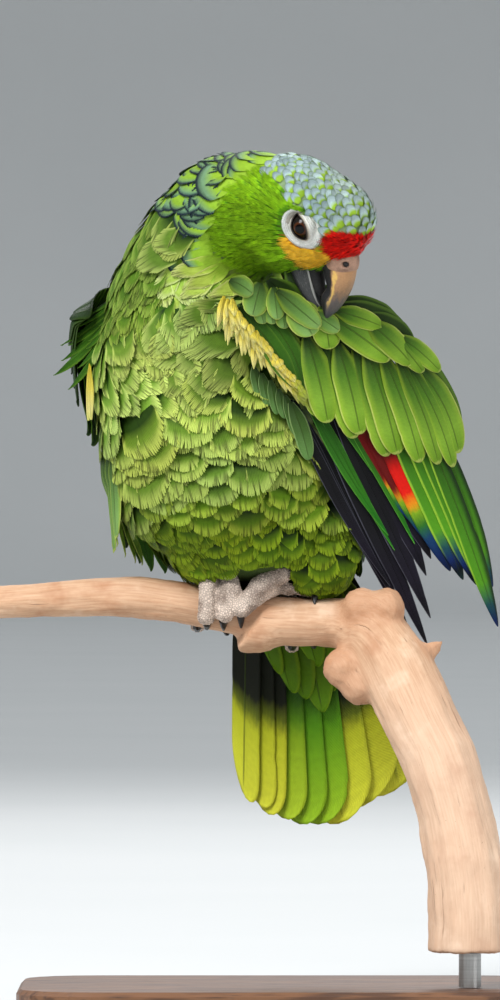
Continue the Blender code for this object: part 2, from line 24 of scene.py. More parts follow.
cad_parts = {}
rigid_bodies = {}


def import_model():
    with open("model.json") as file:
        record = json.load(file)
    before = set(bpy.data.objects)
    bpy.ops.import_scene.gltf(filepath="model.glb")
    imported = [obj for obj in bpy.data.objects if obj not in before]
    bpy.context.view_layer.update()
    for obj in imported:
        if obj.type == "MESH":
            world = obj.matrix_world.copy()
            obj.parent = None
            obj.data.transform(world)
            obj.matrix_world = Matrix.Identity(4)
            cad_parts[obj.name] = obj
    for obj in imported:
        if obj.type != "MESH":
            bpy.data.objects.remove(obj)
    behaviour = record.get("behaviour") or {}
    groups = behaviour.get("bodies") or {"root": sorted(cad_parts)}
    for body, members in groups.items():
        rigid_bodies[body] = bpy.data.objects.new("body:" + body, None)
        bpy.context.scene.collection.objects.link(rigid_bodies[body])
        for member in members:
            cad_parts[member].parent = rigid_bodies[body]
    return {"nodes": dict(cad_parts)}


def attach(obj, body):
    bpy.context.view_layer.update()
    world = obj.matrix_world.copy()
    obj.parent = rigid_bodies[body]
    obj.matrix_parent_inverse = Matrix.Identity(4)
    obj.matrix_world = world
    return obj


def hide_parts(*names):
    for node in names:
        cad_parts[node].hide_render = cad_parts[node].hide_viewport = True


MM = 0.001
SEED = 29
BODY = "root"
LOG = logging.getLogger("amazon")

Array = np.ndarray
Triple = tuple[float, float, float]
Colour = tuple[float, float, float, float]


# --- colour, vectors and curves ---
def srgb(red: float, green: float, blue: float) -> Colour:
    """A colour in linear light from its 0 to 255 display values.

    Args:
        red: Red from 0 to 255.
        green: Green.
        blue: Blue.

    Returns:
        The colour with full alpha.
    """
    def linear(part: float) -> float:
        """One part in linear light."""
        part /= 255
        return part / 12.92 if part <= 0.04045 else ((part + 0.055) / 1.055) ** 2.4

    return (linear(red), linear(green), linear(blue), 1.0)


def unit(vectors: Array) -> Array:
    """Vectors made one long, along the last axis."""
    return vectors / np.maximum(np.linalg.norm(vectors, axis=-1, keepdims=True), 1e-9)


def dots(first: Array, second: Array) -> Array:
    """Dot products of rows of vectors."""
    return np.sum(first * second, axis=-1)


def smooth(low: float, high: float, value: Array) -> Array:
    """A smooth step from 0 at low to 1 at high."""
    share = np.clip((np.asarray(value, float) - low) / (high - low), 0, 1)
    return share * share * (3 - 2 * share)


def mix(first: Array, second: Array, share: Array) -> Array:
    """Colours or points between two, one share for each row."""
    share = np.asarray(share, float)[..., None]
    return np.asarray(first, float) * (1 - share) + np.asarray(second, float) * share


def bezier(points: Sequence[Triple], share: float | Array) -> Array:
    """A point, or a row of points, on a quadratic curve.

    Args:
        points: The curve's start, the point it bends towards and its end.
        share: Where on the curve, from 0 to 1; one number or a row of them.

    Returns:
        The point, or a row of points.
    """
    start, middle, end = (np.asarray(point, float) for point in points)
    share = np.asarray(share, float)[..., None]
    return start * (1 - share) ** 2 + middle * 2 * share * (1 - share) + end * share**2


def spot(points: Array, x: float, z: float, wide: float, high: float) -> Array:
    """A soft round mark on the front view: 1 in its middle and falling off to 0."""
    return np.exp(-(((points[:, 0] - x) / wide) ** 2 + ((points[:, 2] - z) / high) ** 2))


def ripple(points: Array, scale: float, seed: float = 0.0) -> Array:
    """Smooth pseudo-random values from -1 to 1 that vary over about scale millimetres.

    Args:
        points: Places in millimetres.
        scale: The size of a ripple.
        seed: Which ripples.

    Returns:
        A value for each place.
    """
    x, y, z = (np.asarray(points, float) / scale).T
    value = np.sin(x * 1.7 + 2.3 * np.sin(y * 1.3 + seed) + seed)
    value = value + np.sin(y * 1.9 + 2.1 * np.sin(z * 1.1 + 1.3 * seed) + 2.1 * seed)
    return (value + np.sin(z * 1.6 + 2.2 * np.sin(x * 1.2 + 0.7 * seed) + 3.7 * seed)) / 3


# --- meshes ---
@dataclass(frozen=True)
class Frame:
    """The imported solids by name, in place."""

    nodes: dict[str, bpy.types.Object]


@dataclass
class Shape:
    """Points, faces and per-point values of a mesh being put together.

    Attributes:
        points: Places in millimetres.
        faces: Point numbers of each face.
        values: Named per-point values: one number, three, or four for a colour.
        uv: Optional per-point texture coordinates by map name.
    """

    points: Array = field(default_factory=lambda: np.zeros((0, 3)))
    faces: list[tuple[int, ...]] = field(default_factory=list)
    values: dict[str, Array] = field(default_factory=dict)
    uv: dict[str, Array] = field(default_factory=dict)

    @staticmethod
    def joined(shapes: Sequence["Shape"]) -> "Shape":
        """All the shapes as one, each keeping its own points.

        Args:
            shapes: The shapes, all with the same values.

        Returns:
            The joined shape.
        """
        start, faces = 0, []
        for shape in shapes:
            faces += [tuple(corner + start for corner in face) for face in shape.faces]
            start += len(shape.points)
        first = shapes[0]
        return Shape(
            np.concatenate([shape.points for shape in shapes]),
            faces,
            {name: np.concatenate([shape.values[name] for shape in shapes]) for name in first.values},
            {name: np.concatenate([shape.uv[name] for shape in shapes]) for name in first.uv},
        )

    @staticmethod
    def grid(points: Array, closed: bool = False) -> "Shape":
        """A sheet of quads through rows of points.

        Args:
            points: Rows, columns, and three coordinates.
            closed: Whether the last column joins the first.

        Returns:
            The sheet.
        """
        rows, columns = points.shape[:2]
        faces = []
        for row in range(rows - 1):
            for column in range(columns if closed else columns - 1):
                beside = (column + 1) % columns
                low, high = row * columns, (row + 1) * columns
                faces.append((low + column, low + beside, high + beside, high + column))
        return Shape(points.reshape(-1, 3).astype(float), faces)

    def capped(self, ring: int) -> "Shape":
        """Closes the ends of a closed grid whose rows hold ring points."""
        end = len(self.points) - ring
        self.faces += [tuple(range(ring))[::-1], tuple(range(end, end + ring))]
        return self

    def mesh(self, name: str) -> bpy.types.Mesh:
        """The shape as a Blender mesh in metres, shaded smooth.

        Args:
            name: The mesh's name.

        Returns:
            The mesh, with its values and maps.
        """
        mesh = bpy.data.meshes.new(name)
        mesh.from_pydata((self.points * MM).tolist(), [], self.faces)
        for key, values in self.values.items():
            write(mesh, key, values)
        corners = np.zeros(len(mesh.loops), np.int32)
        mesh.loops.foreach_get("vertex_index", corners)
        for key, values in self.uv.items():
            layer = mesh.uv_layers.new(name=key)
            layer.data.foreach_set("uv", np.asarray(values, np.float32)[corners].ravel())
        if self.faces:
            mesh.shade_smooth()
        return mesh


def write(mesh: bpy.types.Mesh, name: str, values: Array) -> None:
    """Stores values on a mesh's points.

    Args:
        mesh: The mesh.
        name: The attribute's name.
        values: A whole number, a number, a vector or a colour for each point.
    """
    if values.dtype.kind == "i":
        mesh.attributes.new(name, "INT", "POINT").data.foreach_set("value", values.astype(np.int32))
        return
    kinds = {1: ("FLOAT", "value"), 3: ("FLOAT_VECTOR", "vector"), 4: ("FLOAT_COLOR", "color")}
    kind, part = kinds[1 if values.ndim == 1 else values.shape[1]]
    mesh.attributes.new(name, kind, "POINT").data.foreach_set(part, values.astype(np.float32).ravel())


def place(name: str, mesh: bpy.types.Mesh, material: bpy.types.Material | None = None) -> bpy.types.Object:
    """Puts a mesh in the scene as an object at the origin.

    Args:
        name: The object's name.
        mesh: Its mesh.
        material: Its finish, if it has one yet.

    Returns:
        The object.
    """
    obj = bpy.data.objects.new(name, mesh)
    bpy.context.scene.collection.objects.link(obj)
    if material is not None:
        mesh.materials.clear()
        mesh.materials.append(material)
    return obj


def finished(obj: bpy.types.Object, slot: str, *nodes: str) -> bpy.types.Object:
    """Makes a piece ride on the body and stand for CAD nodes, which it hides.

    Args:
        obj: The piece.
        slot: Not used.
        nodes: The solids that it stands for.

    Returns:
        The same piece.
    """
    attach(obj, BODY)
    if nodes:
        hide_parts(*nodes)
    obj.data.calc_loop_triangles()
    LOG.info("%-24s %7d triangles", obj.name, len(obj.data.loop_triangles))
    return obj


def modified(obj: bpy.types.Object, kind: str, **settings: object) -> bpy.types.Modifier:
    """Adds a modifier with its settings.

    Args:
        obj: The object.
        kind: Blender's name of the modifier's type.
        settings: Its settings by name.

    Returns:
        The modifier.
    """
    modifier = obj.modifiers.new(kind.lower(), kind)
    for name, value in settings.items():
        setattr(modifier, name, value)
    return modifier


def applied(obj: bpy.types.Object) -> bpy.types.Mesh:
    """The object's evaluated mesh, with its modifiers taken off.

    Args:
        obj: The object.

    Returns:
        Its new mesh.
    """
    graph = bpy.context.evaluated_depsgraph_get()
    mesh = bpy.data.meshes.new_from_object(obj.evaluated_get(graph))
    obj.modifiers.clear()
    obj.data = mesh
    return mesh


@contextmanager
def editing(mesh: bpy.types.Mesh) -> Iterator[bmesh.types.BMesh]:
    """Opens a mesh for editing and writes it back at the end.

    Args:
        mesh: The mesh.

    Yields:
        The open mesh.
    """
    bm = bmesh.new()
    bm.from_mesh(mesh)
    yield bm
    bm.to_mesh(mesh)
    bm.free()


def outward(mesh: bpy.types.Mesh) -> None:
    """Turns every closed shell's faces outwards and shades it smooth."""
    with editing(mesh) as bm:
        bmesh.ops.recalc_face_normals(bm, faces=bm.faces)
    mesh.shade_smooth()


def mesh_points(mesh: bpy.types.Mesh) -> Array:
    """The mesh's points in millimetres."""
    points = np.zeros(len(mesh.vertices) * 3, np.float32)
    mesh.vertices.foreach_get("co", points)
    return points.reshape(-1, 3).astype(float) / MM


def mesh_normals(mesh: bpy.types.Mesh) -> Array:
    """The mesh's point normals."""
    normals = np.zeros(len(mesh.vertices) * 3, np.float32)
    mesh.vertex_normals.foreach_get("vector", normals)
    return normals.reshape(-1, 3).astype(float)


def set_points(mesh: bpy.types.Mesh, points: Array) -> None:
    """Moves the mesh's points to places in millimetres."""
    mesh.vertices.foreach_set("co", (points * MM).astype(np.float32).ravel())
    mesh.update()


def remeshed(
    name: str, frame: Frame, nodes: Sequence[str], voxel: float, swell: float, rounds: int,
    pads: Sequence[tuple[Triple, Triple, float]] = (),
) -> bpy.types.Object:
    """CAD nodes melted into one even, closed surface.

    Args:
        name: The new object's name.
        frame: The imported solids.
        nodes: The CAD nodes to copy.
        voxel: The mesh size, in millimetres.
        swell: How far each copy is grown first, so that neighbours across a thin cut meet.
        rounds: Smoothing rounds.
        pads: Extra rounded bars of flesh: start, end and radius, in millimetres.

    Returns:
        The object, with its modifiers applied.
    """
    bm = bmesh.new()
    for node in nodes:
        part = bmesh.new()
        part.from_mesh(frame.nodes[node].data)
        bmesh.ops.remove_doubles(part, verts=part.verts, dist=1e-6)
        part.normal_update()
        for vert in part.verts:
            vert.co += vert.normal * swell * MM
        copy = bpy.data.meshes.new(node)
        part.to_mesh(copy)
        part.free()
        bm.from_mesh(copy)
        bpy.data.meshes.remove(copy)
    for start, end, radius in pads:
        for share in np.linspace(0, 1, 9):
            where = Matrix.Translation(mix(np.array(start), np.array(end), share) * MM)
            bmesh.ops.create_icosphere(bm, subdivisions=3, radius=radius * MM, matrix=where)
    mesh = bpy.data.meshes.new(name)
    bm.to_mesh(mesh)
    bm.free()
    obj = place(name, mesh)
    modified(obj, "REMESH", mode="VOXEL", voxel_size=voxel * MM)
    modified(obj, "SMOOTH", factor=0.5, iterations=rounds)
    applied(obj).shade_smooth()
    return obj


# --- node trees ---
class Value:
    """A number on a socket. Arithmetic on it adds Math nodes."""

    def __init__(self, graph: "Graph", socket: bpy.types.NodeSocket) -> None:
        """Wraps a socket of a graph."""
        self.graph, self.socket = graph, socket

    def maths(self, operation: str, *others: "Value | float", swapped: bool = False) -> "Value":
        """Adds one Math node on this value and up to two others.

        Args:
            operation: Blender's name of the operation.
            others: The terms after this one.
            swapped: Whether this value is the last term.

        Returns:
            The result.
        """
        terms = [self, *others]
        if swapped:
            terms.reverse()
        made = self.graph.node("ShaderNodeMath", {"operation": operation}, dict(enumerate(terms)))
        return Value(self.graph, made.outputs[0])

    def __add__(self, other: "Value | float") -> "Value":
        """Adds a number or a value."""
        return self.maths("ADD", other)

    def __radd__(self, other: float) -> "Value":
        """Is added to a number."""
        return self.maths("ADD", other)

    def __sub__(self, other: "Value | float") -> "Value":
        """Takes a number or a value away."""
        return self.maths("SUBTRACT", other)

    def __rsub__(self, other: float) -> "Value":
        """Is taken away from a number."""
        return self.maths("SUBTRACT", other, swapped=True)

    def __mul__(self, other: "Value | float") -> "Value":
        """Multiplies by a number or a value."""
        return self.maths("MULTIPLY", other)

    def __rmul__(self, other: float) -> "Value":
        """Multiplies a number."""
        return self.maths("MULTIPLY", other)

    def __truediv__(self, other: "Value | float") -> "Value":
        """Divides by a number or a value."""
        return self.maths("DIVIDE", other)

    def clamped(self) -> "Value":
        """This value, kept between 0 and 1."""
        return self.maths("MAXIMUM", 0.0).maths("MINIMUM", 1.0)

    def wave(self) -> "Value":
        """A wave from 0 to 1 with this value as its angle."""
        return self.maths("SINE") * 0.5 + 0.5

    def step(self, low: float, high: float, start: float = 0.0, end: float = 1.0) -> "Value":
        """A smooth step between two numbers as this value goes from low to high.

        Args:
            low: Where the step starts.
            high: Where it ends.
            start: The result at low.
            end: The result at high.

        Returns:
            The step.
        """
        made = self.graph.node(
            "ShaderNodeMapRange",
            {"interpolation_type": "SMOOTHSTEP"},
            {"Value": self, "From Min": low, "From Max": high, "To Min": start, "To Max": end},
        )
        return Value(self.graph, made.outputs[0])


class Graph:
    """A shader or geometry node tree being built."""

    def __init__(self, tree: bpy.types.NodeTree) -> None:
        """Starts on a tree."""
        self.tree = tree

    def node(self, kind: str, settings: dict | None = None, inputs: dict | None = None) -> bpy.types.Node:
        """Adds a node.

        Args:
            kind: Blender's name of the node's type.
            settings: What is set on the node itself; stops are a colour ramp's places and colours.
            inputs: Values or links of its sockets, by name or number.

        Returns:
            The node.
        """
        made = self.tree.nodes.new(kind)
        for name, value in (settings or {}).items():
            if name == "stops":
                self.set_stops(made.color_ramp, value)
            else:
                setattr(made, name, value)
        for key, value in (inputs or {}).items():
            self.feed(made.inputs[key], value)
        return made

    @staticmethod
    def set_stops(ramp: bpy.types.ColorRamp, stops: Sequence[tuple[float, Sequence[float]]]) -> None:
        """Gives a ramp its stops.

        Args:
            ramp: The ramp.
            stops: Places and colours.
        """
        while len(ramp.elements) < len(stops):
            ramp.elements.new(1.0)
        for element, (position, colour) in zip(ramp.elements, stops):
            element.position, element.color = position, colour

    def feed(self, socket: bpy.types.NodeSocket, value: object) -> None:
        """Links a socket to another socket or value, or sets it.

        Args:
            socket: The input.
            value: A value, a socket, or a plain number, vector or colour.
        """
        if isinstance(value, Value):
            self.tree.links.new(value.socket, socket)
        elif isinstance(value, bpy.types.NodeSocket):
            self.tree.links.new(value, socket)
        else:
            socket.default_value = value

    def blend(self, first: object, second: object, share: object, how: str = "MIX") -> bpy.types.NodeSocket:
        """Mixes two colours."""
        settings = {"data_type": "RGBA", "blend_type": how, "clamp_factor": True}
        return self.node("ShaderNodeMix", settings, {0: share, 6: first, 7: second}).outputs[2]

    def vector(self, name: str, output: str = "Vector") -> bpy.types.NodeSocket:
        """A mesh attribute in a material, as a vector, a colour or a number."""
        return self.node("ShaderNodeAttribute", {"attribute_name": name}).outputs[output]

    def colour(self, name: str) -> bpy.types.NodeSocket:
        """A colour attribute in a material."""
        return self.vector(name, "Color")

    def number(self, name: str) -> Value:
        """A number attribute in a material."""
        return Value(self, self.vector(name, "Fac"))

    def split(self, vector: object) -> list[Value]:
        """A vector's three parts."""
        made = self.node("ShaderNodeSeparateXYZ", {}, {0: vector})
        return [Value(self, output) for output in made.outputs]

    def grey(self, shade: Value) -> bpy.types.NodeSocket:
        """A number as a grey to multiply a colour by."""
        return self.node("ShaderNodeCombineColor", {}, {0: shade, 1: shade, 2: shade}).outputs[0]

    def ramp(self, where: object, *stops: tuple[float, ...]) -> bpy.types.NodeSocket:
        """Colours along a number; a stop is a place and a colour's red, green and blue from 0 to 255.

        Args:
            where: The number.
            stops: For each stop its place, red, green and blue.

        Returns:
            The colour.
        """
        made = [(stop[0], srgb(*stop[1:])) for stop in stops]
        return self.node("ShaderNodeValToRGB", {"stops": made}, {0: where}).outputs[0]

    def stretched(self, vector: object, scale: Triple) -> bpy.types.NodeSocket:
        """A vector with each part scaled."""
        return self.node("ShaderNodeMapping", {}, {"Vector": vector, "Scale": scale}).outputs[0]

    def noise(self, where: object, scale: float, detail: float = 3.0, roughness: float = 0.5) -> Value:
        """Smooth noise from 0 to 1."""
        inputs = {"Vector": where, "Scale": scale, "Detail": detail, "Roughness": roughness}
        return Value(self, self.node("ShaderNodeTexNoise", {}, inputs).outputs[0])

    def cells(self, where: object, scale: object, feature: str = "DISTANCE_TO_EDGE") -> Value:
        """Distances within random cells."""
        made = self.node("ShaderNodeTexVoronoi", {"feature": feature}, {"Vector": where, "Scale": scale})
        return Value(self, made.outputs["Distance"])


class Finish:
    """A Principled material being built."""

    def __init__(self, name: str, **settings: float | tuple) -> None:
        """Makes a material with the settings that are the same all over it.

        Args:
            name: The material's name.
            settings: Numbers for the shader's sockets, by their names in small letters.
        """
        self.material = bpy.data.materials.new(name)
        self.material.use_nodes = True
        self.graph = Graph(self.material.node_tree)
        self.surface = next(n for n in self.material.node_tree.nodes if n.type == "BSDF_PRINCIPLED")
        for key, value in settings.items():
            self.surface.inputs[key.replace("_", " ").title().replace("Ior", "IOR")].default_value = value

    def set(self, name: str, value: object) -> "Finish":
        """Links or sets one of the shader's sockets."""
        self.graph.feed(self.surface.inputs[name], value)
        return self

    def shaded(self, colour: object, shade: Value | None = None) -> "Finish":
        """Sets the surface's colour, made darker or lighter by a number."""
        if shade is not None:
            colour = self.graph.blend(colour, self.graph.grey(shade), 1.0, "MULTIPLY")
        return self.set("Base Color", colour)

    def place(self) -> bpy.types.NodeSocket:
        """Object coordinates, in metres."""
        return self.graph.node("ShaderNodeTexCoord").outputs["Object"]

    def bump(self, height: Value, depth: float, strength: float = 1.0) -> "Finish":
        """Raises the surface by height times depth millimetres."""
        inputs = {"Strength": strength, "Distance": depth * MM, "Height": height}
        return self.set("Normal", self.graph.node("ShaderNodeBump", {}, inputs).outputs[0])


class Tree:
    """A geometry node tree with named inputs, run on an object to leave a plain mesh."""

    def __init__(self, name: str, **inputs: str) -> None:
        """Makes the tree from its inputs' names and kinds of socket; the finish is the last of them.

        Args:
            name: The tree's name.
            inputs: Kinds of socket by name.
        """
        self.tree = bpy.data.node_groups.new(name, "GeometryNodeTree")
        for label, kind in {**inputs, "Finish": "Material"}.items():
            self.tree.interface.new_socket(label, in_out="INPUT", socket_type="NodeSocket" + kind)
        self.tree.interface.new_socket("Result", in_out="OUTPUT", socket_type="NodeSocketGeometry")
        self.graph = Graph(self.tree)
        self.inlet = self.graph.node("NodeGroupInput")

    def given(self, name: str) -> Value:
        """One of the tree's inputs."""
        return Value(self.graph, self.inlet.outputs[name])

    def one(
        self, kind: str, settings: dict | None = None, inputs: dict | None = None, output: str | int = 0
    ) -> Value:
        """Adds a node and gives one of its outputs."""
        return Value(self.graph, self.graph.node(kind, settings, inputs).outputs[output])

    def named(self, name: str, kind: str = "FLOAT_VECTOR") -> Value:
        """Reads an attribute."""
        return self.one("GeometryNodeInputNamedAttribute", {"data_type": kind}, {0: name})

    def vectors(self, operation: str, *terms: object, by: object = None) -> Value:
        """Adds one Vector Math node, with by as its scale."""
        inputs = dict(enumerate(terms)) | ({} if by is None else {"Scale": by})
        return self.one("ShaderNodeVectorMath", {"operation": operation}, inputs)

    def end(self, geometry: Value) -> None:
        """Makes the result real, sets its material and gives it out.

        Args:
            geometry: The result.
        """
        real = self.one("GeometryNodeRealizeInstances", {}, {0: geometry})
        inputs = {"Geometry": real, "Material": self.given("Finish")}
        dressed = self.one("GeometryNodeSetMaterial", {}, inputs)
        self.graph.node("NodeGroupOutput", {}, {0: dressed})

    def run(self, obj: bpy.types.Object, **values: object) -> None:
        """Runs the tree on an object and keeps the result as its mesh.

        Args:
            obj: The object.
            values: The tree's inputs by name.
        """
        modifier = modified(obj, "NODES", node_group=self.tree)
        for item in self.tree.interface.items_tree:
            if item.in_out == "INPUT" and item.name in values:
                modifier[item.identifier] = values[item.name]
        applied(obj).shade_smooth()
        obj.data.materials.clear()
        obj.data.materials.append(values["Finish"])


class SurfaceTree(Tree):
    """A tree that pushes a surface out along its normals by a pattern of its own."""

    def __init__(self, name: str) -> None:
        """Makes the tree with a pattern's scale and depth."""
        super().__init__(name, Surface="Geometry", Scale="Float", Depth="Float")

    def raised(self, height: Value) -> "SurfaceTree":
        """Raises the surface by height times the depth given.

        Args:
            height: The pattern, about 0 to 1.

        Returns:
            The same tree.
        """
        offset = self.vectors("SCALE", self.one("GeometryNodeInputNormal"), by=height * self.given("Depth"))
        inputs = {"Geometry": self.given("Surface"), "Offset": offset}
        self.end(self.one("GeometryNodeSetPosition", {}, inputs))
        return self


# --- finishes ---
@dataclass(frozen=True)
class SmallFeather:
    """Contour feathers, scales and tufts: colours come with each root and run from base to tip.

    Attributes:
        barbs: Barb stripes across a vane.
        rib: How dark the shaft is.
        slant: How far a stripe leans along the vane.
        sharp: How fast the far colour takes over from the near one.
    """

    name: str
    barbs: float = 36.0
    rib: float = 0.12
    slant: float = 5.0
    sharp: float = 4.0

    def build(self) -> bpy.types.Material:
        """Builds the material.

        Returns:
            The material.
        """
        finish = Finish(self.name, roughness=0.62, specular_ior_level=0.12)
        graph = finish.graph
        vane = graph.vector("vane")
        across, along, _ = graph.split(vane)
        band, rim, luck = graph.split(graph.vector("facts"))
        out = (across - 0.5).maths("ABSOLUTE")
        # Barbs leave the shaft at a slant, so a stripe's phase mixes the way across and the way along.
        phase = (across - 0.5) * self.barbs * math.tau + (1.0 - along) * luck * self.slant
        stripe = (phase.maths("COSINE") * 0.5 + 0.5) * along.step(0.25, 0.9)
        # Clumped barbs leave uneven dark slits near a soft feather's end.
        tangle = {0: across * 15.0 + luck * 60.0, 1: along * 1.4, 2: luck * 30.0}
        clumps = graph.noise(graph.node("ShaderNodeCombineXYZ", {}, tangle).outputs[0], 1.0, 1.0)
        slit = clumps.step(0.54, 0.64) * along.step(0.62, 0.90) * rim.step(0.17, 0.24)
        # From the near colour at the base to the far colour: the dark base is partly painted shadow under the
        # feathers above.
        spread = ((along - band) * self.sharp + 0.5).clamped()
        rimmed = (graph.number("edge") + (stripe - 0.5) * 0.10 - 1.0 + rim) / rim
        rimmed = rimmed * rim.step(0.36, 0.12, 1.0, 3.0)
        colour = graph.blend(graph.colour("near"), graph.colour("far"), spread)
        colour = graph.blend(colour, graph.colour("rim"), rimmed.clamped())
        lines = graph.noise(vane, 9.0, 2.0)
        shade = 1.0 - stripe * 0.34 - slit * 0.45 - (lines - 0.5) * 0.34
        shade = shade * (1.0 - out.step(0.05, 0.0) * self.rib * along.step(0.9, 0.5))
        return finish.shaded(colour, shade).bump(stripe * 0.6 + lines * 0.3, 0.22).material


class Web(Enum):
    """How a large feather is coloured along its length and across its webs."""

    COVERT = "covert"
    SECONDARY = "secondary"
    PRIMARY = "primary"
    TAIL = "tail"
    VENT = "vent"
    EDGE = "edge"
    ALULA = "alula"
    FOLDED = "folded"
    UNDER = "under"
    MANTLE = "mantle"


@dataclass(frozen=True)
class Plain:
    """A web of one run of colours from base to tip with another colour along its free edge.

    Attributes:
        stops: Places along the feather with red, green and blue from 0 to 255.
        edge: The edge's colour.
        start: Where the edge's colour starts, as a share of the half width.
        full: Where it is full.
        share: How much of it there is.
    """

    stops: tuple[tuple[float, ...], ...]
    edge: Triple
    start: float
    full: float
    share: float


PLAINS: dict[Web, Plain] = {
    Web.PRIMARY: Plain(((0.0, 10, 11, 10), (0.5, 17, 16, 20), (0.8, 27, 23, 36), (1.0, 15, 15, 20)),
                       (104, 104, 118), 0.86, 0.98, 0.6),
    Web.VENT: Plain(((0.0, 30, 42, 4), (0.5, 56, 84, 6), (1.0, 92, 136, 14)),
                    (120, 150, 20), 0.7, 0.98, 0.5),
    Web.ALULA: Plain(((0.0, 36, 78, 22), (0.6, 54, 122, 26), (1.0, 34, 134, 34)),
                     (110, 188, 66), 0.74, 0.98, 0.7),
    Web.UNDER: Plain(((0.0, 34, 54, 18), (0.5, 66, 98, 40), (1.0, 104, 146, 76)),
                     (160, 190, 120), 0.8, 0.97, 0.6),
    # The mantle web's greens are kept dark with painted shade, for the far wing that lies in shadow.
    Web.MANTLE: Plain(((0.0, 24, 46, 8), (0.5, 54, 98, 18), (1.0, 46, 86, 18)),
                      (106, 146, 42), 0.6, 0.97, 0.6),
    Web.FOLDED: Plain(((0.0, 20, 34, 8), (0.5, 38, 62, 14), (1.0, 34, 56, 14)),
                      (86, 118, 34), 0.6, 0.95, 0.8),
}
SHAFTS = {Web.PRIMARY: (16, 16, 18), Web.ALULA: (30, 56, 16), Web.FOLDED: (14, 18, 10)}
SHAFT = (60, 78, 26)


@dataclass(frozen=True)
class LargeFeather:
    """Flight feathers, tail feathers and coverts, coloured by their webs.

    Attributes:
        web: How the webs are coloured.
        barbs: Barb stripes along a web, two by two.
        slant: How many of them a barb passes on its way out.
    """

    name: str
    web: Web
    barbs: float = 150.0
    slant: float = 26.0

    def build(self) -> bpy.types.Material:
        """Builds the material.

        Returns:
            The material.
        """
        finish = Finish(self.name, roughness=0.46, specular_ior_level=0.14)
        graph = finish.graph
        vane, luck = graph.vector("vane"), graph.number("luck")
        across, along, _ = graph.split(vane)
        out = (across - 0.5).maths("ABSOLUTE") * 2.0
        colour = self.colour(graph, across, along + (graph.noise(vane, 14.0, 2.0) - 0.5) * 0.05, out)
        # Barbs run from the shaft towards the tip; the shaft itself is a fine ridge.
        stripe = ((along * self.barbs - out * self.slant) * math.pi + luck * 9.0).wave()
        cloud = graph.noise(graph.stretched(vane, (3.0, 16.0, 1.0)), 2.6)
        shaft = out.step(0.07, 0.02) * along.step(1.0, 0.9)
        shade = 1.06 - stripe * 0.12 - (cloud - 0.5) * 0.38 - (luck - 0.5) * 0.16
        colour = graph.blend(colour, graph.grey(shade), 1.0, "MULTIPLY")
        finish.shaded(graph.blend(colour, srgb(*SHAFTS.get(self.web, SHAFT)), shaft * 0.55))
        return finish.bump(stripe * 0.35 + shaft * 1.6 + cloud * 0.2, 0.28).material

    def colour(self, graph: Graph, across: Value, along: Value, out: Value) -> bpy.types.NodeSocket:
        """The webs' colours before barbs and shade.

        Args:
            graph: The material's nodes.
            across: The share of the way across both webs.
            along: The share of the way to the tip.
            out: The share of the way from the shaft to an edge.

        Returns:
            The colour.
        """
        row = graph.number("place")
        if self.web in PLAINS:
            plain = PLAINS[self.web]
            edge = out.step(plain.start, plain.full) * plain.share
            web = graph.blend(graph.ramp(along, *plain.stops), srgb(*plain.edge), edge)
            if self.web is Web.MANTLE:
                # Painted shade: a row's front feathers, along the far wing's shaded front edge, are darker
                # still.
                web = graph.blend(web, srgb(20, 34, 12), row.step(0.3, 0.08) * 0.8)
            return web
        if self.web is Web.COVERT:
            # Dark at the base, partly the feather's own colour and partly painted shadow under the
            # overlapping coverts.
            web = graph.ramp(
                along, (0.0, 20, 40, 8), (0.35, 72, 112, 26), (0.75, 122, 160, 46), (1.0, 106, 146, 32)
            )
            soft = graph.ramp(along, (0.0, 34, 56, 18), (0.6, 100, 140, 64), (1.0, 132, 170, 92))
            web = graph.blend(web, soft, row.step(0.3, 0.1))
            web = graph.blend(web, srgb(156, 184, 50), out.step(0.45, 0.95) * 0.45)
            rim = out.step(0.88, 0.95).maths("MAXIMUM", along.step(0.96, 0.985)) * along.step(0.2, 0.5)
            return graph.blend(web, srgb(192, 204, 104), rim * 0.75)
        if self.web is Web.SECONDARY:
            green = graph.ramp(
                along + row.step(0.75, 0.95) * -0.12, (0.0, 20, 44, 8), (0.35, 58, 112, 18),
                (0.70, 80, 144, 24), (0.80, 24, 70, 76), (0.87, 12, 36, 92), (0.94, 8, 16, 26),
                (1.0, 12, 44, 44),
            )
            green = graph.blend(green, srgb(18, 34, 12), across.step(0.62, 0.92) * 0.85)
            lit = across.step(0.12, 0.03) * along.step(0.88, 0.7)
            green = graph.blend(green, srgb(158, 200, 60), lit * 0.8)
            patch = graph.ramp(
                along, (0.0, 40, 78, 14), (0.26, 92, 8, 6), (0.36, 206, 18, 8), (0.50, 222, 24, 8),
                (0.57, 226, 140, 20), (0.62, 120, 160, 26), (0.70, 40, 104, 30), (0.78, 14, 56, 96),
                (0.90, 10, 34, 84), (1.0, 8, 24, 60),
            )
            patch = graph.blend(patch, srgb(96, 10, 8), row.step(0.27, 0.23) * along.step(0.62, 0.5))
            return graph.blend(patch, green, row.step(0.46, 0.5))
        if self.web is Web.TAIL:
            outer = graph.ramp(
                along, (0.0, 12, 16, 5), (0.53, 16, 20, 6), (0.60, 84, 94, 18), (0.67, 164, 170, 34),
                (1.0, 186, 188, 50),
            )
            inner = graph.ramp(
                along, (0.0, 16, 30, 5), (0.46, 30, 66, 8), (0.62, 78, 134, 14), (1.0, 132, 168, 30)
            )
            return graph.blend(outer, inner, (row - 0.52).maths("ABSOLUTE").step(0.22, 0.08))
        web = graph.ramp(
            along, (0.0, 214, 190, 50), (0.4, 246, 226, 96), (0.8, 252, 240, 150), (1.0, 236, 234, 130)
        )
        return graph.blend(web, srgb(150, 176, 44), row.step(0.78, 1.0) * 0.8)


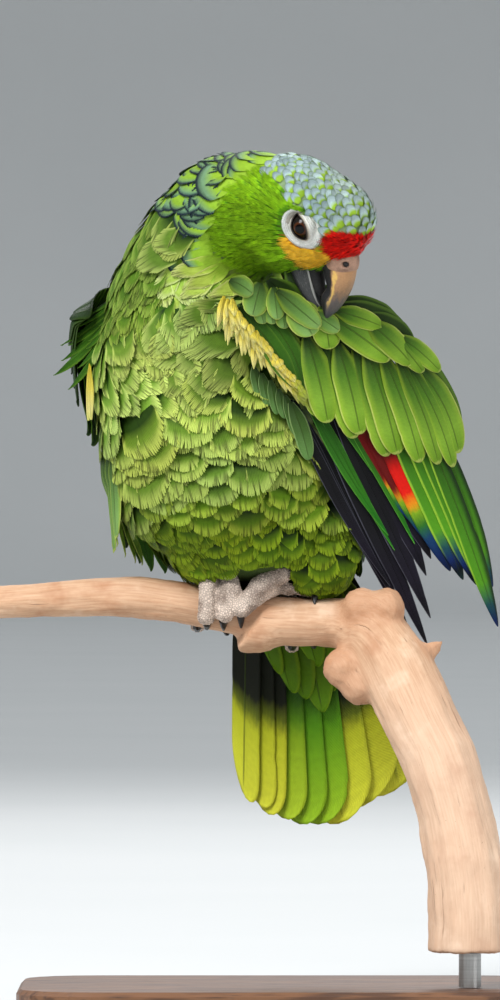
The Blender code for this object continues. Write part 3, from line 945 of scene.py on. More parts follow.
@dataclass(frozen=True)
class Hide:
    """The skin under the feathers: each point's own colour, darkened towards the down, with fine grain."""

    name: str = "skin_and_down"

    def build(self) -> bpy.types.Material:
        """Builds the material.

        Returns:
            The material.
        """
        finish = Finish(self.name, roughness=0.8)
        graph = finish.graph
        grain = graph.noise(finish.place(), 1400.0, 2.0)
        colour = graph.blend(graph.colour("hue"), srgb(60, 66, 30), 0.25)
        return finish.shaded(colour, 0.5 + grain * 0.5).bump(grain, 0.35).material


@dataclass(frozen=True)
class Lid:
    """Bare, wrinkled white skin round the eye, dark along the opening."""

    name: str = "eye_ring"

    def build(self) -> bpy.types.Material:
        """Builds the material.

        Returns:
            The material.
        """
        finish = Finish(self.name, roughness=0.55, subsurface_weight=0.12)
        graph = finish.graph
        ring = graph.number("ring")
        pebbles = graph.cells(finish.place(), 1500.0, "F1")
        blotch = graph.noise(finish.place(), 420.0)
        skin = graph.ramp(
            ring, (0.0, 10, 7, 5), (0.13, 40, 28, 20), (0.19, 168, 154, 136), (0.28, 214, 211, 202),
            (0.85, 222, 222, 214), (1.0, 196, 200, 160),
        )
        finish.shaded(skin, 0.86 + pebbles * 0.30 - (blotch - 0.5) * 0.22)
        folds = (ring * 60.0).maths("SINE") * ring.step(0.2, 0.4)
        return finish.bump(pebbles + folds * 0.5, 0.30).material


@dataclass(frozen=True)
class Eyeball:
    """An eye by the angle from its gaze: black pupil, orange-brown iris and dark rim."""

    name: str = "eye"

    def build(self) -> bpy.types.Material:
        """Builds the material.

        Returns:
            The material.
        """
        finish = Finish(self.name, roughness=0.1, specular_ior_level=0.18)
        graph = finish.graph
        rays = graph.noise(graph.vector("iris"), 5.0, 4.0, 0.7)
        iris = graph.ramp(
            graph.number("gaze") + (rays - 0.5) * 0.03, (0.0, 2, 1, 1), (0.33, 3, 2, 2), (0.36, 58, 27, 10),
            (0.44, 64, 34, 16), (0.52, 42, 24, 12), (0.58, 16, 9, 5), (1.0, 8, 5, 4),
        )
        return finish.shaded(iris, 0.7 + rays * 0.6).material


@dataclass(frozen=True)
class Horn:
    """The upper or lower bill: growth lines, wear and a shift from pale base to dark tip.

    Attributes:
        stops: Colours from the base to the tip.
        side: The flank's colour.
        side_from: Where the flank starts, as a share of the way round.
        streak: How much of a pale streak there is above the flank.
        wear: How much pale wear there is along the lip.
    """

    name: str
    stops: tuple[tuple[float, ...], ...]
    side: Triple
    side_from: float = 0.35
    streak: float = 0.0
    wear: float = 0.0

    def build(self) -> bpy.types.Material:
        """Builds the material.

        Returns:
            The material.
        """
        finish = Finish(self.name, roughness=0.38, specular_ior_level=0.35)
        graph = finish.graph
        down, side, where = graph.number("down"), graph.number("side"), graph.vector("grain")
        cloud = graph.noise(where, 3.0, 4.0, 0.6)
        lines = graph.noise(graph.stretched(where, (2.0, 22.0, 2.0)), 3.0)
        scratch = graph.noise(graph.stretched(where, (26.0, 1.4, 26.0)), 2.0)
        body = graph.ramp(down + (cloud - 0.5) * 0.28, *self.stops)
        flank = side + (cloud - 0.5) * 0.3
        colour = graph.blend(body, srgb(*self.side), flank.step(self.side_from, self.side_from + 0.16))
        pale = flank.step(self.side_from - 0.10, self.side_from - 0.03)
        pale = pale * flank.step(self.side_from + 0.05, self.side_from) * down.step(0.75, 0.5)
        colour = graph.blend(colour, srgb(214, 176, 92), pale * self.streak)
        colour = graph.blend(colour, srgb(150, 140, 120), side.step(0.93, 1.0) * 0.55)
        lip = side.step(0.02, 0.045) * side.step(0.15, 0.10) * down.step(0.98, 0.9)
        flakes = scratch.step(0.58, 0.66) * lines.step(0.45, 0.6)
        colour = graph.blend(colour, srgb(172, 172, 166), (lip + flakes * 0.6) * self.wear)
        finish.shaded(colour, 1.0 - (lines - 0.5) * 0.5 - scratch.step(0.55, 0.75) * 0.22)
        finish.set("Roughness", 0.34 + cloud * 0.22)
        return finish.bump(lines * 0.7 + scratch * 0.5, 0.18).material


@dataclass(frozen=True)
class Pebbled:
    """Soft skin with raised grains: the cere, and the scaled feet.

    Attributes:
        pale: One colour of the skin.
        dark: The other.
        grain: Grains in a metre.
        depth: How high they stand, in millimetres.
        crease: How dark the skin between the grains is: painted shade in the folds between them.
    """

    name: str
    pale: Triple
    dark: Triple
    grain: float
    depth: float = 0.3
    crease: float = 0.5

    def build(self) -> bpy.types.Material:
        """Builds the material.

        Returns:
            The material.
        """
        finish = Finish(self.name, roughness=0.55)
        graph = finish.graph
        cells = graph.cells(finish.place(), self.grain)
        blotch = graph.noise(finish.place(), self.grain * 0.12, 4.0, 0.6)
        colour = graph.blend(srgb(*self.pale), srgb(*self.dark), blotch.step(0.35, 0.7))
        # The skin between the grains is darker: painted shade in the folds.
        finish.shaded(colour, (1.0 - self.crease) + cells.step(0.0, 0.16) * self.crease)
        finish.set("Roughness", 0.5 + blotch * 0.25)
        return finish.bump(cells.step(0.0, 0.3) + blotch * 0.4, self.depth).material


@dataclass(frozen=True)
class Keratin:
    """Black claws with faint lengthwise lines and dull wear."""

    name: str = "claw_keratin"

    def build(self) -> bpy.types.Material:
        """Builds the material.

        Returns:
            The material.
        """
        finish = Finish(self.name, roughness=0.3)
        cloud = finish.graph.noise(finish.place(), 500.0, 4.0, 0.6)
        finish.shaded(finish.graph.blend(srgb(16, 15, 15), srgb(62, 58, 54), cloud.step(0.5, 0.85)))
        return finish.set("Roughness", 0.24 + cloud * 0.3).bump(cloud, 0.1).material


@dataclass(frozen=True)
class BareWood:
    """A peeled, weathered branch: pale peach wood, long grain, checks, and warmer knots and broken ends.

    Attributes:
        top: Up to this height, in metres, the wood grows paler downwards.
        bleached: From this height down it is as pale as it gets.
    """

    name: str = "bare_wood"
    top: float = 0.175
    bleached: float = 0.11

    def build(self) -> bpy.types.Material:
        """Builds the material.

        Returns:
            The material.
        """
        finish = Finish(self.name, roughness=0.68)
        graph = finish.graph
        grain, knot = graph.vector("grain"), graph.number("knot")
        fibres = graph.noise(graph.stretched(grain, (1.0, 1.0, 0.05)), 1.1, 4.0, 0.6)
        checks = graph.noise(graph.stretched(grain, (1.0, 1.0, 0.035)), 0.55, 3.0, 0.6)
        patches = graph.noise(finish.place(), 38.0, 4.0, 0.6)
        specks = graph.noise(finish.place(), 420.0, 3.0, 0.7)
        height = graph.split(finish.place())[2]
        colour = srgb(202, 164, 132)
        for over, share in (
            ((184, 140, 106), fibres.step(0.3, 0.75)),
            ((170, 118, 82), patches.step(0.50, 0.72) * 0.8),
            ((226, 196, 168), patches.step(0.47, 0.28) * 0.7),
            # Paler towards the bottom of the branch, by height alone.
            ((238, 212, 190), height.step(self.top, self.bleached) * 0.28),
            ((176, 124, 88), knot * 0.5),
            ((124, 86, 60), checks.step(0.66, 0.74) * 0.5),
            ((120, 86, 62), specks.step(0.68, 0.78) * 0.5),
        ):
            colour = graph.blend(colour, srgb(*over), share)
        finish.shaded(colour).set("Roughness", 0.6 + fibres * 0.2)
        return finish.bump(fibres * 0.5 - checks.step(0.64, 0.76) + specks * 0.4, 0.35).material


@dataclass(frozen=True)
class OiledWood:
    """The stand's plain board: warm brown hardwood with long rings and open pores."""

    name: str = "oiled_hardwood"

    def build(self) -> bpy.types.Material:
        """Builds the material.

        Returns:
            The material.
        """
        finish = Finish(self.name, roughness=0.42, coat_weight=0.12)
        graph = finish.graph
        warp = graph.noise(graph.stretched(finish.place(), (1.0, 12.0, 9.0)), 7.0, 4.0, 0.55)
        rings = (warp * 34.0).wave()
        pores = graph.noise(graph.stretched(finish.place(), (14.0, 420.0, 420.0)), 4.0, 3.0, 0.6)
        colour = graph.blend(srgb(112, 74, 46), srgb(78, 48, 28), rings.step(0.2, 0.95))
        finish.shaded(graph.blend(colour, srgb(48, 29, 17), pores.step(0.60, 0.72) * 0.8))
        finish.set("Roughness", 0.36 + pores * 0.22)
        return finish.bump(rings * 0.2 - pores.step(0.58, 0.74), 0.16).material


@dataclass(frozen=True)
class BrushedSteel:
    """The stand's rod, turned and finely brushed round."""

    name: str = "brushed_steel"

    def build(self) -> bpy.types.Material:
        """Builds the material.

        Returns:
            The material.
        """
        finish = Finish(self.name, metallic=1.0, roughness=0.3)
        graph = finish.graph
        lines = graph.noise(graph.stretched(finish.place(), (6.0, 6.0, 2200.0)), 1.0)
        cloud = graph.noise(finish.place(), 60.0)
        finish.shaded(graph.blend(srgb(196, 196, 194), srgb(150, 150, 150), lines))
        return finish.set("Roughness", 0.24 + lines * 0.12 + cloud * 0.08).bump(lines, 0.04).material


@dataclass(frozen=True)
class PalePaper:
    """The studio floor."""

    name: str = "studio_floor"

    def build(self) -> bpy.types.Material:
        """Builds the material."""
        finish = Finish(self.name, roughness=0.9)
        cloud = finish.graph.noise(finish.place(), 3.0, 2.0)
        return finish.shaded(finish.graph.blend(srgb(206, 207, 207), srgb(200, 202, 202), cloud)).material


# --- the bird's own axes and markings ---
@dataclass(frozen=True)
class HeadAxes:
    """The head's axes in millimetres: forwards past the bill, up through the crown, right by the near eye."""

    centre: Triple = (29.5, -49.0, 354.5)
    forwards: Triple = (0.784, -0.191, -0.591)
    up: Triple = (0.488, -0.400, 0.777)
    right: Triple = (-0.385, -0.897, -0.220)

    def turn(self) -> Array:
        """Rows are the three axes."""
        return unit(np.array([self.forwards, self.up, self.right]))

    def world(self, places: Array) -> Array:
        """Places given as forwards, up and right become world places."""
        return np.asarray(places, float) @ self.turn() + np.asarray(self.centre)

    def local(self, points: Array) -> Array:
        """World places become forwards, up and right."""
        return (np.asarray(points, float) - np.asarray(self.centre)) @ self.turn().T

    def tube(self, places: Array) -> Shape:
        """A closed sheet through rings of places given as forwards, up and right."""
        return Shape.grid(self.world(places.reshape(-1, 3)).reshape(places.shape), closed=True)


def within(corners: Sequence[tuple[float, float]], across: Array, upwards: Array) -> Array:
    """Which places lie inside a polygon.

    Args:
        corners: The polygon's corners.
        across: The places' first coordinates.
        upwards: Their second ones.

    Returns:
        Yes or no for each place.
    """
    inside = np.zeros(len(across), bool)
    for (x0, y0), (x1, y1) in zip(corners, (*corners[1:], corners[0])):
        crosses = (y0 > upwards) != (y1 > upwards)
        slope = (x1 - x0) / (y1 - y0) if y1 != y0 else 0.0
        inside ^= crosses & (across < x0 + (upwards - y0) * slope)
    return inside


class Tract(Enum):
    """The parts of the coat, each with feathers of its own kind."""

    CROWN = 0
    FOREHEAD = 1
    LORE = 2
    CHEEK = 3
    NAPE = 4
    MANTLE = 5
    STREAM = 6
    BREAST = 7
    BELLY = 8
    THIGH = 9
    BACK = 10
    THROAT = 11
    BARE = 12


@dataclass(frozen=True)
class Dress:
    """How one tract's feathers look.

    Attributes:
        near: Colour at the base, dark partly as the feather's own colour and partly as painted shadow under
            the feathers above.
        far: Colour of the outer part.
        rim: Colour of the free edge.
        width: Width in millimetres.
        length: Length in millimetres.
        space: Distance between roots in millimetres, the mean of along and across.
        lift: How high the tip stands over the skin, in millimetres.
        band: Where the outer colour takes over, as a share of the length.
        edging: Width of the rim, as a share of the feather.
        cut: The vane that is used.
        vary: How much single feathers differ in lightness.
    """

    near: tuple
    far: tuple
    rim: tuple
    width: float
    length: float
    space: float
    lift: float
    band: float = 0.5
    edging: float = 0.2
    cut: str = "body"
    vary: float = 0.12


DRESSES = {
    Tract.CROWN: Dress(srgb(140, 176, 50), srgb(184, 208, 210), srgb(138, 164, 140), 4.0, 5.8, 2.65, 1.6,
                       0.50, 0.09, "scale", 0.14),
    Tract.FOREHEAD: Dress(srgb(170, 8, 4), srgb(240, 20, 8), srgb(250, 46, 20), 2.0, 5.0, 1.15, 1.6,
                          0.3, 0.1, "hair", 0.2),
    Tract.LORE: Dress(srgb(255, 166, 22), srgb(255, 194, 48), srgb(255, 214, 96), 2.0, 5.0, 1.2, 1.4,
                      0.1, 0.1, "hair", 0.06),
    Tract.CHEEK: Dress(srgb(72, 122, 4), srgb(134, 186, 18), srgb(162, 204, 40), 1.7, 6.4, 1.3, 1.7,
                       0.42, 0.1, "hair", 0.16),
    Tract.NAPE: Dress(srgb(134, 172, 44), srgb(112, 150, 112), srgb(28, 42, 48), 17.0, 16.0, 5.2, 2.6,
                      0.80, 0.12, "bar", 0.1),
    Tract.MANTLE: Dress(srgb(42, 76, 8), srgb(86, 122, 26), srgb(134, 160, 60), 10.0, 22.0, 4.8, 2.8,
                        0.56, 0.26, "plume", 0.12),
    Tract.THROAT: Dress(srgb(122, 156, 40), srgb(176, 200, 80), srgb(208, 220, 126), 9.0, 24.0, 4.2, 2.6,
                        0.42, 0.26, "plume", 0.08),
    Tract.STREAM: Dress(srgb(28, 54, 8), srgb(92, 124, 36), srgb(166, 184, 92), 14.0, 25.0, 6.0, 4.6,
                        0.52, 0.30, "breast", 0.10),
    Tract.BREAST: Dress(srgb(28, 50, 6), srgb(88, 118, 30), srgb(158, 176, 80), 22.0, 22.0, 8.2, 6.6,
                        0.60, 0.26, "breast", 0.12),
    Tract.BELLY: Dress(srgb(30, 52, 3), srgb(92, 128, 16), srgb(160, 182, 56), 17.0, 18.5, 7.2, 5.4,
                       0.58, 0.26, "breast", 0.13),
    Tract.THIGH: Dress(srgb(28, 48, 2), srgb(86, 118, 8), srgb(136, 162, 26), 13.0, 15.0, 5.9, 4.2,
                       0.56, 0.26, "breast", 0.13),
    Tract.BACK: Dress(srgb(42, 76, 8), srgb(84, 132, 22), srgb(36, 60, 16), 18.0, 22.0, 8.4, 4.4,
                      0.4, 0.14, "body", 0.12),
}


@dataclass(frozen=True)
class Markings:
    """Where each tract lies on the bird, the same on both sides of the head."""

    axes: HeadAxes = HeadAxes()
    crown_line: tuple = ((-34.0, 8.0), (-24.6, 10.3), (-18.7, 10.3), (-14.0, 6.7), (-4.9, 9.7), (3.4, 7.6),
                         (8.2, 3.6), (30.0, 0.0))
    red_top: tuple = ((8.0, 4.5), (10.8, 6.5), (18.8, 11.0), (22.4, 12.0), (24.0, 14.5), (26.0, 18.0),
                      (28.0, 24.0))
    red_back: tuple = ((-10.0, 15.4), (-8.1, 14.7), (-4.4, 11.9), (1.7, 9.2), (6.5, 10.0), (14.0, 18.0))
    lore: tuple = ((-7.4, -8.0), (-6.0, -11.0), (0.7, -15.6), (6.9, -18.0), (15.4, -9.4), (15.2, -5.9),
                   (9.4, -2.0), (4.0, -3.0), (-3.0, -5.0))
    hem: tuple = ((-60.0, 215.0), (-45.0, 206.0), (-34.0, 194.0), (-26.0, 189.0), (-19.0, 199.0),
                  (21.0, 201.0), (26.0, 188.0), (46.0, 187.0), (52.0, 206.0))
    cheek_back: tuple = ((-36.0, -24.0), (-34.9, -31.4), (-25.6, -37.9), (-16.5, -38.7), (-8.0, -39.3),
                         (4.6, -34.5), (12.0, -30.0), (40.0, -27.0))
    ring_centre: tuple[float, float] = (0.6, -1.2)
    ring_long: tuple[float, float] = (0.951, -0.311)
    ring_size: tuple[float, float] = (10.1, 8.2)
    shift: Triple = (0.7, -1.7, 0.0)

    def ring_reach(self, local: Array) -> Array:
        """How far a place is from the eye ring's middle: 1 on the ring's outline.

        Args:
            local: Places in the head's axes.

        Returns:
            The share for each.
        """
        f, u = local[:, 0] - self.ring_centre[0], local[:, 1] - self.ring_centre[1]
        along = f * self.ring_long[0] + u * self.ring_long[1]
        beside = -f * self.ring_long[1] + u * self.ring_long[0]
        reach = np.hypot(along / self.ring_size[0], beside / self.ring_size[1])
        return np.where(np.abs(local[:, 2]) > 8, reach, 9.0)

    def tracts(self, points: Array) -> Array:
        """The tract number of each place.

        Args:
            points: Places in world millimetres.

        Returns:
            One Tract value for each.
        """
        local = self.axes.local(points)
        bare = self.ring_reach(local) < 0.97
        local = local - self.shift
        f, u, side = local[:, 0], local[:, 1], np.abs(local[:, 2])
        x, y, z = points.T
        wobble = ripple(points, 3.2, 1.0)
        found = np.full(len(points), Tract.BREAST.value)

        def mark(where: Array, tract: Tract) -> None:
            """Gives the places that where picks to a tract."""
            found[where] = tract.value

        mark((z < 243 + 0.3 * x + 5 * ripple(points, 14.0, 2.0)) & (y < 16), Tract.BELLY)
        mark((z < 226) & (np.abs(x - 30) < 30) & (y < 8), Tract.THIGH)
        mark((z < 224) & (x < 8) & (y < 6), Tract.THIGH)
        mark((z > 281 + 0.35 * (x + 30)) & (y < 12), Tract.STREAM)
        mark((x > 32) & (z > 236) & (z < 276) & (y < 10), Tract.THIGH)
        mark((z > 306) & (x < -34), Tract.MANTLE)
        mark(y > 14 + 0.10 * (z - 250) - 0.22 * np.maximum(x, 0), Tract.BACK)
        mark((z > 334) & (y > 0), Tract.MANTLE)
        mark((z > 322) & (z < 337) & (x > -40) & (x < 15) & (y < -5), Tract.THROAT)
        left = 0.95 * np.maximum(366 - z, 0) - 39 + 0.4 * np.maximum(y, 0)
        mark((z > 338 + 0.1 * y) & (f < -20) & (x > left), Tract.NAPE)
        mark((f < -20) & (z > 335) & (x > -16) & (y > -25), Tract.NAPE)
        mark((z > 336) & (z < 349) & (x > -28) & (x < -8) & (y < -15), Tract.NAPE)
        on_head = (f > np.interp(u + 0.8 * wobble, *np.array(self.cheek_back).T)) & (y < 8) & (u > -38)
        on_head &= f > -40
        mark(on_head, Tract.CHEEK)
        top = np.interp(f, *np.array(self.crown_line).T) + 0.9 * wobble
        mark(on_head & (u > top) & (f > -33), Tract.CROWN)
        back = np.interp(u, *np.array(self.red_back).T)
        below = u < np.interp(f, *np.array(self.red_top).T) + 0.7 * wobble
        mark((f > back + 0.7 * wobble) & below & (u > -12) & (f > 8), Tract.FOREHEAD)
        mark((f > 14) & (u < 0.5 * (f - 15.4) - 6.9) & (u > -20), Tract.BARE)
        mark(within(self.lore, f + 0.6 * wobble, u) & (side > 6), Tract.LORE)
        mark(bare, Tract.BARE)
        mark(((u - 0.55 * f) < -28.5) & (f > 4) & (u > -40) & (side < 18), Tract.BARE)
        return found

    def room(self, points: Array) -> Array:
        """How far above the coat's lower hem each place is; the coat ends over the feet."""
        room = points[:, 2] - np.interp(points[:, 0], *np.array(self.hem).T)
        return np.where(points[:, 1] < 6, room, 60.0)

    def shade(self, points: Array) -> Array:
        """Painted light and shade on the coat: painted shadow under the wing, at the neck and above the feet,
        a painted highlight on the shoulder, lighter on the upper breast and darker low down.

        Args:
            points: Places in world millimetres.

        Returns:
            What the coat's colours are multiplied by.
        """
        _, y, z = points.T
        front = y < 0
        # Painted shadow in the hollow under the wing and above the feet, a painted highlight on the shoulder,
        # painted shadow in the hollow at the neck.
        hollow = spot(points, 40, 243, 10, 17) * front
        feet = spot(points, 2, 199, 18, 5)
        shoulder = spot(points, -57, 291, 16, 15) * front
        neck = spot(points, 30, 306, 14, 20) * (y < 4)
        # Painted light by height: lighter on the upper breast, darker low on the belly.
        height = 0.22 * smooth(250, 282, z) * smooth(300, 290, z) - 0.16 * smooth(250, 232, z)
        return (1 + 0.65 * shoulder + height) * (1 - 0.72 * hollow - 0.5 * feet) * (1 - 0.5 * neck)

    def hues(self, points: Array) -> Array:
        """The skin's colour at each place, that of the coat over it.

        Args:
            points: Places in world millimetres.

        Returns:
            A colour for each.
        """
        found = self.tracts(points)
        colours = np.zeros((len(points), 4))
        colours[:] = srgb(206, 200, 190)
        for tract, dress in DRESSES.items():
            colours[found == tract.value] = mix(dress.near, dress.far, np.float64(0.35))
        return colours


@dataclass(frozen=True)
class Lie:
    """The way the coat runs: guides at listed places, blended by distance, laid flat on the skin."""

    guides: tuple[tuple[Triple, Triple], ...] = (
        ((-42, -20, 350), (-0.6, 0, -0.8)), ((-28, -38, 345), (-0.8, -0.1, -0.5)),
        ((-14, -43, 342), (-0.5, -0.3, -0.8)), ((6, -48, 329), (0.85, -0.1, -0.45)),
        ((-18, -48, 331), (0.95, -0.1, -0.2)), ((-34, -46, 329), (0.9, -0.1, -0.35)),
        ((-52, -25, 326), (0.1, -0.2, -0.97)), ((-58, -25, 312), (0.5, -0.2, -0.85)),
        ((-64, -20, 300), (0.7, -0.2, -0.7)), ((-50, -40, 304), (0.75, -0.1, -0.66)),
        ((-46, -45, 293), (0.95, 0, -0.3)), ((-60, -30, 286), (0.9, -0.2, -0.4)),
        ((-5, -50, 318), (-0.85, 0, -0.5)), ((-22, -50, 319), (-0.85, 0, -0.45)),
        ((-37, -46, 314), (-0.7, 0, -0.7)), ((-20, -52, 306), (-0.8, 0, -0.6)),
        ((-8, -53, 297), (-0.7, 0, -0.7)), ((-30, -50, 280), (0.1, 0, -1)),
        ((-35, -50, 265), (0.25, 0, -0.97)), ((-10, -48, 262), (0.3, 0, -0.95)),
        ((10, -40, 250), (0.15, 0, -1)), ((-60, -20, 250), (0.05, 0, -1)),
        ((-10, -45, 225), (0.15, 0, -1)), ((30, -20, 215), (0.1, 0.1, -1)),
        ((-20, 40, 330), (-0.1, 0.3, -0.9)), ((-20, 44, 300), (0.05, 0.1, -1)),
        ((10, 40, 230), (0.25, 0.1, -1)), ((20, 10, 260), (0.15, 0, -1)),
        ((22, 10, 310), (0.5, 0.2, -0.85)),
    )
    axes: HeadAxes = HeadAxes()

    def directions(self, points: Array, normals: Array) -> Array:
        """The lie at each place.

        Args:
            points: Places in world millimetres.
            normals: The skin's normals there.

        Returns:
            Directions from root to tip, one long and square to the normals.
        """
        places = np.array([where for where, _ in self.guides], float)
        ways = unit(np.array([way for _, way in self.guides], float))
        apart = np.linalg.norm(points[:, None] - places[None], axis=2)
        weights = 1 / (apart**3 + 40)
        way = unit(weights @ ways)
        local = self.axes.local(points)
        # Over the head the coat runs back from the bill and fans down over the cheek.
        turn = self.axes.turn()
        down = np.clip((4 - local[:, 1]) / 26, -0.3, 0.75)
        back = -turn[0][None] - turn[1][None] * down[:, None]
        share = smooth(-52, -30, local[:, 0]) * smooth(70, 44, np.linalg.norm(local, axis=1))
        share = share * smooth(-46, -34, local[:, 1])
        way = unit(mix(way, unit(back), share))
        way = way - normals * dots(way, normals)[:, None]
        return unit(way)


# --- skin ---
@dataclass
class Skin:
    """One skin for all the flesh, inside it by the coat's depth.

    Attributes:
        frame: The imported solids.
        markings: Where each tract lies.
        nodes: The solids that the skin stands for.
        voxel: The mesh size.
        swell: How far the solids are grown before they are melted.
        body_depth: The coat's depth on the body.
        neck_depth: Its depth on the neck.
        face_depth: Its depth on the face.
        eye: The near eye's place in the head's axes.
        socket: The dent behind an eye: its depth, outer radius and inner radius.
    """

    frame: Frame
    markings: Markings
    nodes: tuple[str, ...] = (
        "head", "neck", "trunk", "rump", "thigh_left", "thigh_right", "wing_left_arm", "cere",
    )
    voxel: float = 1.7
    swell: float = 0.7
    body_depth: float = 4.6
    neck_depth: float = 3.4
    face_depth: float = 1.1
    eye: Triple = (0.3, 0.3, 17.5)
    socket: Triple = (3.4, 8.5, 4.5)

    def depth(self, points: Array) -> Array:
        """How deep the skin lies under the coat's surface at each place, in millimetres.

        Args:
            points: Places in world millimetres.

        Returns:
            Depths in millimetres.
        """
        local = self.markings.axes.local(points)
        reach = np.linalg.norm(local / (1.25, 1.0, 1.0), axis=1)
        depth = self.face_depth + (self.neck_depth - self.face_depth) * smooth(22, 44, reach)
        depth = depth + (self.body_depth - self.neck_depth) * smooth(350, 315, points[:, 2])
        depth = depth + 0.7 * smooth(4, 12, local[:, 1]) * smooth(44, 30, reach)
        return depth * (1 - 0.35 * smooth(226, 212, points[:, 2]))

    def build(self) -> bpy.types.Object:
        """Builds the skin with its lie-flat normals, colours and unwrap.

        Returns:
            The skin.
        """
        obj = remeshed("skin", self.frame, self.nodes, self.voxel, self.swell, 4)
        mesh = obj.data
        self.keep_largest(mesh)
        points = mesh_points(mesh)
        depth = self.depth(points)[:, None] + self.swell * 0.6
        for _ in range(4):
            points = points - mesh_normals(mesh) * depth / 4
            set_points(mesh, points)
            points = self.relaxed(mesh, 2)
        points = self.socketed(points)
        set_points(mesh, points)
        self.outer = BVHTree.FromObject(obj, bpy.context.evaluated_depsgraph_get())
        write(mesh, "outward", mesh_normals(mesh))
        write(mesh, "hue", self.markings.hues(points))
        self.unwrap(obj)
        self.object, self.points = obj, points
        return obj

    @staticmethod
    def keep_largest(mesh: bpy.types.Mesh) -> None:
        """Drops loose inner shells that the remesh leaves.

        Args:
            mesh: The skin's mesh.
        """
        seen: set[int] = set()
        shells = []
        with editing(mesh) as bm:
            for start in bm.verts:
                if start.index in seen:
                    continue
                seen.add(start.index)
                shell, queue = [start], [start]
                while queue:
                    for edge in queue.pop().link_edges:
                        for vert in edge.verts:
                            if vert.index not in seen:
                                seen.add(vert.index)
                                shell.append(vert)
                                queue.append(vert)
                shells.append(shell)
            shells.sort(key=len)
            for shell in shells[:-1]:
                bmesh.ops.delete(bm, geom=shell, context="VERTS")

    @staticmethod
    def relaxed(mesh: bpy.types.Mesh, rounds: int) -> Array:
        """Smooths the mesh a little and gives its new points.

        Args:
            mesh: The skin's mesh.
            rounds: How often.

        Returns:
            The points in millimetres.
        """
        axes = {"use_axis_x": True, "use_axis_y": True, "use_axis_z": True}
        with editing(mesh) as bm:
            for _ in range(rounds):
                bmesh.ops.smooth_vert(bm, verts=bm.verts, factor=0.5, **axes)
        mesh.update()
        return mesh_points(mesh)

    def socketed(self, points: Array) -> Array:
        """Dents the skin behind each eye.

        Args:
            points: The skin's points.

        Returns:
            The points, moved in behind the eyes.
        """
        axes = self.markings.axes
        deep, wide, narrow = self.socket
        for sign in (1, -1):
            eye = axes.world(np.array([self.eye]) * (1, 1, sign))[0]
            outwards = axes.turn()[2] * sign
            near = np.linalg.norm(points - eye, axis=1)
            points = points - outwards * (deep * smooth(wide, narrow, near))[:, None]
        return points

    @staticmethod
    def unwrap(obj: bpy.types.Object) -> None:
        """Unwraps the skin's own shape into the map that the coat's patches are placed on.

        Args:
            obj: The skin.
        """
        obj.data.uv_layers.new(name="OFBake")
        bpy.context.view_layer.objects.active = obj
        obj.select_set(True)
        bpy.ops.object.mode_set(mode="EDIT")
        bpy.ops.mesh.select_all(action="SELECT")
        bpy.ops.uv.smart_project(angle_limit=math.radians(66), island_margin=0.004)
        bpy.ops.object.mode_set(mode="OBJECT")
        obj.select_set(False)

    def unwrapped(self, points: Array) -> Array:
        """The unwrap's coordinates at places on the skin.

        Args:
            points: Places on the skin.

        Returns:
            Two coordinates for each.
        """
        mesh = self.object.data
        layer = mesh.uv_layers["OFBake"].data
        found = np.zeros((len(points), 2))
        for row, point in enumerate(points):
            target = Vector(point * MM)
            _, _, face, _ = self.outer.find_nearest(target)
            corners = mesh.polygons[face].loop_indices
            places = [mesh.vertices[mesh.loops[corner].vertex_index].co for corner in corners]
            weights = 1 / (np.array([np.linalg.norm(corner - target) for corner in places]) + 1e-7)
            maps = np.array([layer[corner].uv for corner in corners])
            found[row] = (maps * weights[:, None]).sum(0) / weights.sum()
        return found

    def onto(self, points: Array) -> tuple[Array, Array]:
        """The nearest places on the skin and the normals there.

        Args:
            points: Places near the skin.

        Returns:
            The places on it and the normals.
        """
        places, normals = np.zeros_like(points), np.zeros_like(points)
        for row, point in enumerate(points):
            near, normal, _, _ = self.outer.find_nearest(Vector(point * MM))
            places[row], normals[row] = np.array(near) / MM, normal
        return places, normals


